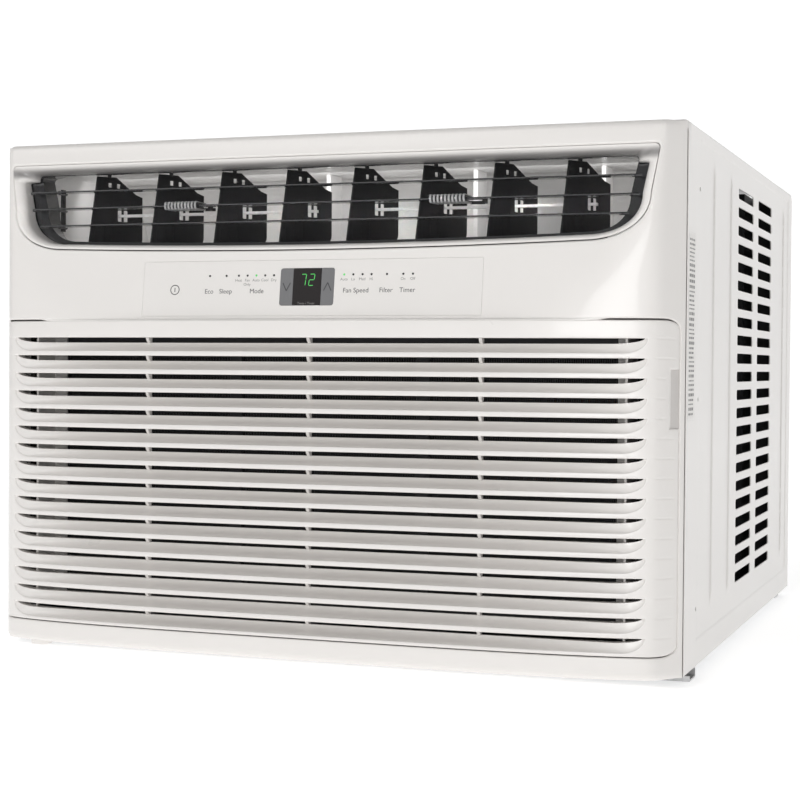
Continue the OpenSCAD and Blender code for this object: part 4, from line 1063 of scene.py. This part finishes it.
def circle(x, z, r, sides):
    """Anticlockwise ring of points on the control face or on a side sheet."""
    turns = (math.tau * k / sides for k in range(sides))
    return [(x + r * math.cos(a), z + r * math.sin(a)) for a in turns]


def flat_face(y=0.0):
    """Plane at a depth behind the control face."""
    return lambda x, z: Vector((x, y, z))


film_y, pad_y, on_pad_y, ink_t = -0.05, -0.1, -0.12, 0.06
sheet, pad_t, cut_r = 1.2, 2.0, 0.05
key_r, pad_r, stem_r = 1.0, 2.2, 2.4


def controls():
    """Printed film with cut-outs, the key caps with their stems, and the display's window."""
    half_h = film_h / 2
    holes = [(clockwise(plate_outline(*spec, 0.0, key_r)), 0.0)
             for key, spec in KEYS.items() if not key.startswith("temp")]
    holes.append((clockwise(plate_outline(0, 2 * block_half, block_dz, block_h, 0.1, pad_r)), cut_r))
    holes += [(clockwise(circle(x, led_dz, led_r + led_gap, 16)), cut_r) for x in led_x]
    film = shell(flat_face(film_y), rounded(-film_half, -half_h, film_half, half_h, 1.0, 3, WHOLE),
                 holes, sheet, 0.25, 30)
    finish_piece(film, "film_sheet", "chassis", "film", ("control_film",), 40, FACE)
    for key, spec in KEYS.items():
        node = f"key_{key}"
        temp = key.startswith("temp")
        cap = key_cap(spec, temp, key == "temp_up")
        tube(cap, [(spec[0], 0.9, spec[2]), (spec[0], 8, spec[2])], stem_r, 16)
        finish_piece(cap, f"cap_{key}", node, "pad_grey" if temp else "film", (node,), 40, FACE)
    lens = shell(flat_face(pad_y), plate_outline(0, 2 * lens_half - 0.1, block_dz, block_h, 0, 0.4),
                 (), pad_t, 0.2, 30)
    finish_piece(lens, "lens_window", "chassis", "lens", ("display_lens",), 40, FACE)


def key_cap(spec, temp, right):
    """Pad of one key. The two display pads are rounded on their outer side only."""
    x, w, z, h = spec
    taller, wider = 1.8, 0.2
    if not temp:
        return shell(flat_face(film_y), plate_outline(x, w, z, h, -key_gap, key_r - key_gap),
                     (), sheet, 0.0, 40)
    h += taller
    x0, x1 = x - w / 2 - wider, x + w / 2 + wider
    r = pad_r
    outer = [(x1 - r + r * math.cos(a), z + h / 2 - r + r * math.sin(a)) for a in np.linspace(0, 1.5708, 5)]
    low = [(p[0], 2 * z - p[1]) for p in reversed(outer)]
    loop = outer + [(x0, z + h / 2), (x0, z - h / 2)] + low
    if not right:
        loop = clockwise([(2 * x - p[0], p[1]) for p in loop])
    return shell(flat_face(pad_y), loop, (), pad_t, 0.25, 40)


def lights():
    """Row of light pipes with low domed ends, two of them lit."""
    depth, dome_h, dome_end = 8.0, 0.25, 1.2
    for i, x in enumerate(led_x):
        b = Build()
        dome = [(led_r * math.cos(a), film_y - dome_h * math.sin(a)) for a in np.linspace(0, dome_end, 4)]
        rings = [b.add([(px, y, pz) for px, pz in circle(x, led_dz, r, 16)])
                 for r, y in [(led_r, depth)] + dome]
        for p, q in zip(rings, rings[1:]):
            b.bridge(p, q)
        b.cap(rings[-1])
        b.cap(list(reversed(rings[0])))
        glow = "green_glow" if i in led_lit else "light_pipe"
        finish_piece(b, f"light_{i + 1}", "chassis", "light_pipe", ("indicator_lights",), 50, FACE, glow)


def strip(b, a, c, width, y, thick=ink_t):
    """Thin printed line between two points of the control face."""
    a, c = Vector(a), Vector(c)
    side = (c - a).normalized().orthogonal() * width / 2
    prism(b, [a + side, c + side, c - side, a - side], y - thick, y, "y")


def printed(name, text, x, z, size, body, material="ink", y=-0.05):
    """Flat generic wording, turned into a thin mesh on the control face."""
    curve = bpy.data.curves.new(name, "FONT")
    curve.body = text
    curve.size = size
    curve.align_x = "CENTER"
    curve.extrude = 0.03
    source = bpy.data.objects.new(name + "_source", curve)
    bpy.context.scene.collection.objects.link(source)
    depsgraph = bpy.context.evaluated_depsgraph_get()
    mesh = bpy.data.meshes.new_from_object(source.evaluated_get(depsgraph))
    bpy.data.objects.remove(source)
    turn = Matrix.Scale(MM, 4) @ FACE @ Matrix.Translation((x, y, z)) @ Matrix.Rotation(math.pi / 2, 4, "X")
    mesh.transform(turn)
    piece = bpy.data.objects.new(name, mesh)
    bpy.context.scene.collection.objects.link(piece)
    mesh.materials.clear()
    mesh.materials.append(MAT[material])
    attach(piece, body)
    return piece


def prints():
    """Generic words on and above the keys, the two chevrons and the power symbol."""
    word_size, word_drop = 6.0, 1.7
    for key in ("eco", "sleep", "mode", "fan_speed", "filter", "timer"):
        text = key.replace("_", " ").title()
        printed(f"word_{key}", text, KEYS[key][0], label_dz - word_drop, word_size, f"key_{key}")
    small, drop, second_drop = 3.5, 5.4, 9.2
    captions = {2: "Heat", 3: "Fan", 4: "Auto", 5: "Cool", 6: "Dry", 7: "Auto", 8: "Lo", 9: "Med",
                10: "Hi", 12: "On", 13: "Off"}
    for i, text in captions.items():
        printed(f"caption_{i}", text, led_x[i], led_dz - drop, small, "chassis", "pale_ink")
    printed("caption_only", "Only", led_x[3], led_dz - second_drop, small, "chassis", "pale_ink")
    printed("caption_display", "Temp / Timer", 0, -15.0, 3.0, "chassis", "pale_ink", -0.11)
    reach, line = 3.6, 0.9
    for key, s in (("temp_down", -1), ("temp_up", 1)):
        b = Build()
        x, tip = KEYS[key][0], block_dz + reach * s
        for d in (-1, 1):
            strip(b, (x + reach * d, tip - 2 * reach * s), (x, tip), line, on_pad_y)
        finish_piece(b, f"chevron_{key}", f"key_{key}", "black_plastic", (), 40, FACE, "ink")
    b = Build()
    x, z, r, ring_line, bar_line, bar_half = KEYS["power"][0], KEYS["power"][2], 4.3, 0.75, 0.8, 1.9
    ring = circle(x, z, r, 32)
    for p, q in zip(ring, ring[1:] + ring[:1]):
        strip(b, p, q, ring_line, -ink_t)
    strip(b, (x, z - bar_half), (x, z + bar_half), bar_line, -ink_t)
    finish_piece(b, "symbol_power", "key_power", "black_plastic", (), 40, FACE, "ink")


SEGMENTS = {"7": "abc", "2": "abged"}


def digits():
    """Two seven-segment figures, leaning a little."""
    b = Build()
    slant, rise = 0.12, 2.0
    w, h, gap, thick = 4.6, 10.2, 0.35, 0.62
    ends = {"a": ((0, h), (w, h)), "b": ((w, h), (w, h / 2)), "c": ((w, h / 2), (w, 0)),
            "d": ((0, 0), (w, 0)), "e": ((0, 0), (0, h / 2)), "g": ((0, h / 2), (w, h / 2))}
    for figure, x0 in (("7", -6.6), ("2", 1.4)):
        for name in SEGMENTS[figure]:
            p, q = (Vector(e) for e in ends[name])
            run = (q - p).normalized() * gap
            p, q = p + run, q - run
            p, q = (Vector((e.x + slant * e.y + x0, e.y + rise)) for e in (p, q))
            strip(b, p, q, thick, on_pad_y)
    finish_piece(b, "display_figures", "chassis", "light_pipe", (), 40, FACE, "green_glow")


# ---------------------------------------------------------------- cabinet
bend_r = 4.0
sheet_t = 1.5
slot_start, slot_w, slot_col_pitch = 271, 99, 132
slot_rows, slot_pitch, slot_h, slot_base = 22, 18.2, 10, 49
hole_back, hole_base, hole_pitch, hole_r = 53, 51, 184, 2.1
rib_back = (131, 226, 598)
rib_half, rib_out, rib_low, rib_high, rib_fade = 5, 1.5, 46, 26, 8
field_back, field_top, field_rear, field_low, field_deep, field_fade = 57, 10, 28, 22, 0.9, 3


def pressed(y, z):
    """How far the side sheet stands out: half-round ribs, and a field pressed in behind a frame."""
    out = 0.0
    for back in rib_back:
        off = abs(y - seam_y - back)
        if off < rib_half and cab_z + rib_low < z < cab_top_z - rib_high:
            ends = smooth((z - cab_z - rib_low) / rib_fade) * smooth((cab_top_z - rib_high - z) / rib_fade)
            out += rib_out * math.sqrt(max(0, 1 - (off / rib_half) ** 2)) * ends
    inward = (y - seam_y - field_back, rear_y - field_rear - y,
              cab_top_z - field_top - z, z - cab_z - field_low)
    return out - field_deep * math.prod(smooth(d / field_fade) for d in inward)


def side_surface(y, s):
    """Outer surface of a side sheet. Past its flat part, s runs over the bend into the top."""
    flat_top = cab_top_z - bend_r
    if s <= flat_top:
        return Vector((half_w + pressed(y, s), y, s))
    a = min(math.pi / 2, (s - flat_top) / bend_r)
    return Vector((half_w - bend_r * (1 - math.cos(a)), y, flat_top + bend_r * math.sin(a)))


def cabinet_side(name, mirror):
    """Side sheet with two columns of vent slots, pressed ribs and three fixing holes."""
    s_top = cab_top_z - bend_r + bend_r * math.pi / 2
    outer = split_runs([(seam_y, cab_z), (rear_y, cab_z), (rear_y, s_top), (seam_y, s_top)], 12)
    holes = []
    for c in range(2):
        for r in range(slot_rows):
            y0 = seam_y + slot_start + c * slot_col_pitch
            z0 = cab_z + slot_base + r * slot_pitch
            holes.append((clockwise(rounded(y0, z0, y0 + slot_w, z0 + slot_h, 3, 3, 14)), 0.5))
    for k in range(3):
        z = cab_z + hole_base + hole_pitch * k
        holes.append((clockwise(circle(seam_y + hole_back, z, hole_r, 16)), 0.2))
    # Extra points where the sheet curves: across the ribs, round the field's edge and over the bend
    extra = []
    for back in rib_back:
        for dy in (-5, -4.4, -3.4, -2.2, -1, 0, 1, 2.2, 3.4, 4.4, 5):
            extra += [(seam_y + back + dy, z) for z in np.arange(cab_z + 40, cab_top_z - 18, 6)]
    up = np.arange(cab_z + 20, cab_top_z - 8, 8)
    along = np.arange(seam_y + 54, rear_y - 26, 8)
    for dy in range(field_fade + 1):
        extra += [(seam_y + field_back + dy, z) for z in up]
        extra += [(rear_y - field_rear - dy, z) for z in up]
        extra += [(y, cab_top_z - field_top - dy) for y in along]
        extra += [(y, cab_z + field_low + dy) for y in along]
    bend_steps = 5
    for k in range(bend_steps):
        s = cab_top_z - bend_r + bend_r * math.pi / 2 * k / bend_steps
        extra += [(y, s) for y in np.arange(seam_y + 6, rear_y - 2, 8)]
    b = shell(side_surface, outer, holes, sheet_t, 0.5, 12, extra)
    place = Matrix.Scale(-1, 4, (1, 0, 0)) if mirror else None
    return finish_piece(b, f"sheet_{name}", "cabinet", "cabinet_paint", (name,), None, place)


def cabinet_top():
    """Top sheet with three low ridges pressed along it."""
    half = half_w - bend_r - 0.05
    ridges, ridge_half, ridge_h, ridge_in, ridge_fade = (-200, 0, 200), 9, 1.2, 60, 12

    def surface(x, y):
        """Top sheet's outer surface, with its ridges."""
        ends = smooth((y - seam_y - ridge_in) / ridge_fade) * smooth((rear_y - ridge_in - y) / ridge_fade)
        ridge = sum(ridge_h * smooth(1 - abs(x - c) / ridge_half) * ends for c in ridges)
        return Vector((x, y, cab_top_z + ridge))

    extra = []
    for c in ridges:
        for dx in (-9, -6.5, -4, -2, 0, 2, 4, 6.5, 9):
            extra += [(c + dx, y) for y in np.arange(seam_y + 56, rear_y - 52, 9)]
    outer = split_runs([(-half, seam_y), (half, seam_y), (half, rear_y), (-half, rear_y)], 14)
    b = shell(surface, outer, (), sheet_t, 0.5, 22, extra)
    return finish_piece(b, "sheet_cabinet_top", "cabinet", "cabinet_paint", ("cabinet_top",))


def rating_strip():
    """Blank rating strip near the seam, with plain bars in place of print."""
    y0, y1, z0, z1 = seam_y + 3, seam_y + 34, 228, 388
    x, label_t, print_t = half_w + 0.02, 0.12, 0.04
    b = shell(lambda y, z: Vector((x + label_t, y, z)), rounded(y0, z0, y1, z1, 1.5, 3, 20),
              (), 0.14, 0.04, 30)
    finish_piece(b, "strip_label", "cabinet", "film")
    random.seed(7)
    bars = Build()
    first, last, edge, word_gap, line_gap = 4, 6, 3, 1.6, 2.2
    z = z0 + first
    while z < z1 - last:
        tall = random.choice((1.2, 1.8, 2.6))
        y = y0 + first
        while y < y1 - last:
            wide = random.uniform(3, 9)
            end = min(y + wide, y1 - edge)
            bar = [(y, z), (end, z), (end, z + tall), (y, z + tall)]
            prism(bars, bar, x + label_t, x + label_t + print_t)
            y += wide + word_gap
        z += tall + line_gap
    finish_piece(bars, "strip_bars", "cabinet", "grip_grey", (), 40, None, "pale_ink")


# ---------------------------------------------------------------- coils
fin_t, frame_w, frame_t, flange_w = 0.24, 9, 1.6, 7
tube_r, hairpin_r, hairpin_out = 4.6, 4.4, 7


def coil(node, pitch, rows):
    """Finned coil: thin fins across, end plates, copper tubes through them and hairpin bends outside."""
    low, high = span(node)
    thick0, thick1 = low.y + 3, high.y - 3
    end_x = high.x - frame_w
    first_x = 4 - end_x
    fins = Build()
    for k in range(int(-2 * first_x / pitch) + 1):
        x = first_x + k * pitch
        x0, x1 = x - fin_t / 2, x + fin_t / 2
        prism(fins, [(x0, thick0), (x1, thick0), (x1, thick1), (x0, thick1)], low.z, high.z, "z")
    finish_piece(fins, f"fins_{node}", "chassis", "fins", (node,), 30)
    plates = Build()
    for s in (-1, 1):
        x0, x1 = sorted((s * end_x, s * (end_x + frame_t)))
        brick(plates, (x0, low.y, low.z), (x1, high.y, high.z), 0.4)
        f0, f1 = sorted((s * end_x, s * (end_x + flange_w)))
        brick(plates, (f0, low.y, low.z), (f1, low.y + frame_t, high.z), 0.4)
    finish_piece(plates, f"ends_{node}", "chassis", "pan_steel", (), 30)
    pipes = Build()
    margin, stagger, out = 10, 0.3, end_x + 1
    step = (high.z - low.z - 2 * margin) / rows
    columns = (thick0 + (thick1 - thick0) * 0.28, thick0 + (thick1 - thick0) * 0.72)

    def tube_z(row, column):
        """Height of a tube: the two columns stand a little apart in height."""
        return low.z + margin + step * (row + 0.5) + (column - 0.5) * step * stagger

    for r in range(rows):
        for i, y in enumerate(columns):
            tube(pipes, [(-out, y, tube_z(r, i)), (out, y, tube_z(r, i))], tube_r, 10)
    for s in (-1, 1):
        for r in range(int(s > 0), rows - 1, 2):
            for i, y in enumerate(columns):
                middle = tube_z(r, i) + step / 2
                bend = [(s * (out + hairpin_out * math.sin(a)), y, middle - step / 2 * math.cos(a))
                        for a in np.linspace(0, math.pi, 9)]
                tube(pipes, bend, hairpin_r, 10)
    finish_piece(pipes, f"tubes_{node}", "chassis", "copper", (), 40)


def shroud_seals():
    """Foam seals from the fan shroud's edges towards the cabinet's sides."""
    low, high = span("condenser_shroud")
    pan = span("base_pan")[1].x
    seal_root, seal_deep = 0.5, 7
    b = Build()
    for s in (-1, 1):
        x0, x1 = sorted((s * (high.x - 5), s * (pan + 3)))
        brick(b, (x0, high.y - seal_root, low.z + 4), (x1, high.y + seal_deep, high.z), 1.0)
    finish_piece(b, "shroud_seals", "chassis", "rubber", (), 40)


# ---------------------------------------------------------------- CAD nodes that stay
KEPT = {
    "cabinet_floor": 0.4, "sill_channel": 0.3, "rear_rail": 0.3, "panel_screws": 0.3, "cord_gland": 0.8,
    "outlet_duct": 0.5, "louver_link": 0.4, "vane_link_left": 0.4, "vane_link_right": 0.4,
    "display_module": 0.4, "control_board": 0.2, "filter_frame": 1.0, "filter_mesh": 0.0, "base_pan": 0.3,
    "bulkhead": 0.3, "blower_scroll": 0.5, "blower_wheel": 0.3, "fan_shaft": 0.5, "condenser_fan": 0.5,
    "fan_motor": 2.0, "motor_bracket": 0.8, "condenser_shroud": 0.5, "compressor": 1.2,
    "compressor_mounts": 1.0,
    "accumulator": 2.0, "refrigerant_pipes": 0.0, "electrical_box": 1.5,
}
SLOTS = {part["node"]: part["material_slot"] for part in frame["record"]["subparts"]}
# The gland under the panel is pale, as nothing dark shows there
SLOTS["cord_gland"] = "panel_plastic"


def dress_kept_nodes():
    """Give each CAD node that stays its material and softly broken edges."""
    for node, edge in KEPT.items():
        piece = frame["nodes"][node]
        piece.data.materials.clear()
        piece.data.materials.append(MAT[SLOTS[node]])
        if edge:
            soften(piece, edge)


# ---------------------------------------------------------------- stage
wide_open = 180
# Each lamp's place, what it points at, its size in metres, its watts and its spread in degrees
LAMPS = (
    ("key", (-1.6, -2.6, 2.6), (0, -0.2, 0.25), (2.2, 2.2), 24, wide_open),
    ("front", (0.5, -2.6, 0.4), (0.0, -0.3, 0.3), (1.0, 0.7), 12, wide_open),
    ("fill", (2.6, -1.2, 1.2), (0.1, 0, 0.25), (2.0, 2.0), 2, wide_open),
    ("outlet", (0.0, -2.3, 0.435), (0.0, -0.3, 0.417), (0.58, 0.02), 0.05, 1.5),
    ("duct", (0.0, -0.243, 0.452), (0.0, -0.15, 0.39), (0.56, 0.05), 0.2, wide_open),
)
world_light, floor_glow = 0.37, 0.51


def stage():
    """Pale floor that curves up into a backdrop, and soft lights."""
    wide, near, far, turn, high = 9.0, -6.0, 4.0, 1.5, 7.0
    profile = [(near, 0.0), (far, 0.0)]
    profile += [(far + turn * math.sin(a), turn * (1 - math.cos(a)))
                for a in np.linspace(0.1, math.pi / 2, 12)]
    profile += [(far + turn, high)]
    mesh = bpy.data.meshes.new("floor")
    verts = [(x, y, z) for y, z in profile for x in (-wide, wide)]
    mesh.from_pydata(verts, [], [(2 * i, 2 * i + 1, 2 * i + 3, 2 * i + 2) for i in range(len(profile) - 1)])
    floor = bpy.data.objects.new("floor", mesh)
    bpy.context.scene.collection.objects.link(floor)
    mesh.shade_smooth()
    pale = node_material("pale_floor", (0.93, 0.93, 0.93), 0.75, 0, 0, 60, 0.02, 0.004)
    mesh.materials.append(glowing(pale, (1, 1, 1), floor_glow))
    world = bpy.data.worlds.new("studio")
    world.use_nodes = True
    world.node_tree.nodes["Background"].inputs["Color"].default_value = (1, 1, 1, 1)
    world.node_tree.nodes["Background"].inputs["Strength"].default_value = world_light
    bpy.context.scene.world = world
    for name, place, aim, size, power, spread in LAMPS:
        lamp = bpy.data.lights.new(name, "AREA")
        lamp.shape = "RECTANGLE"
        lamp.size, lamp.size_y = size
        lamp.spread = math.radians(spread)
        lamp.energy = power
        holder = bpy.data.objects.new(name, lamp)
        bpy.context.scene.collection.objects.link(holder)
        holder.location = place
        holder.visible_camera = False
        holder.rotation_euler = (Vector(aim) - Vector(place)).to_track_quat("-Z", "Y").to_euler()


eye_place = (608.1, -1777.3, 272.0)
yaw, pitch, roll = math.radians(19.965), math.radians(-1.103), math.radians(0.425)
sensor_w, focal_ratio = 36, 2.175


def turned(a, b, angle):
    """Two square directions, turned by an angle in their own plane."""
    return a * math.cos(angle) + b * math.sin(angle), b * math.cos(angle) - a * math.sin(angle)


def camera():
    """Camera at the photo's place: turned by yaw, tipped by pitch and then rolled."""
    ahead = Vector((-math.sin(yaw), math.cos(yaw), 0))
    right = Vector((math.cos(yaw), math.sin(yaw), 0))
    up = Vector((0, 0, 1))
    ahead, up = turned(ahead, up, pitch)
    right, up = turned(right, up, roll)
    data = bpy.data.cameras.new("camera")
    data.sensor_width = sensor_w
    data.lens = sensor_w * focal_ratio
    data.clip_start = 0.05
    eye = bpy.data.objects.new("camera", data)
    bpy.context.scene.collection.objects.link(eye)
    pose = Matrix((right, up, -ahead)).transposed().to_4x4()
    pose.translation = Vector(eye_place) * MM
    eye.matrix_world = pose
    bpy.context.scene.camera = eye


# ---------------------------------------------------------------- build
front_panel()
panel_rim()
intake_grille()
grille_ribs()
outlet_bezel()
for blade in ("louver_top", "louver_middle", "louver_bottom"):
    louvre(blade)
for number in range(8):
    vane(number)
peg_offset = 12
grip("left", vane_x[2] - peg_offset)
grip("right", vane_x[6] - peg_offset)
duct_details()
controls()
lights()
prints()
digits()
cabinet_side("cabinet_right", False)
cabinet_side("cabinet_left", True)
cabinet_top()
rating_strip()
coil("condenser_coil", 2.2, 16)
coil("evaporator_coil", 2.2, 12)
shroud_seals()
dress_kept_nodes()
stage()
camera()
bpy.context.scene.view_settings.view_transform = "Standard"
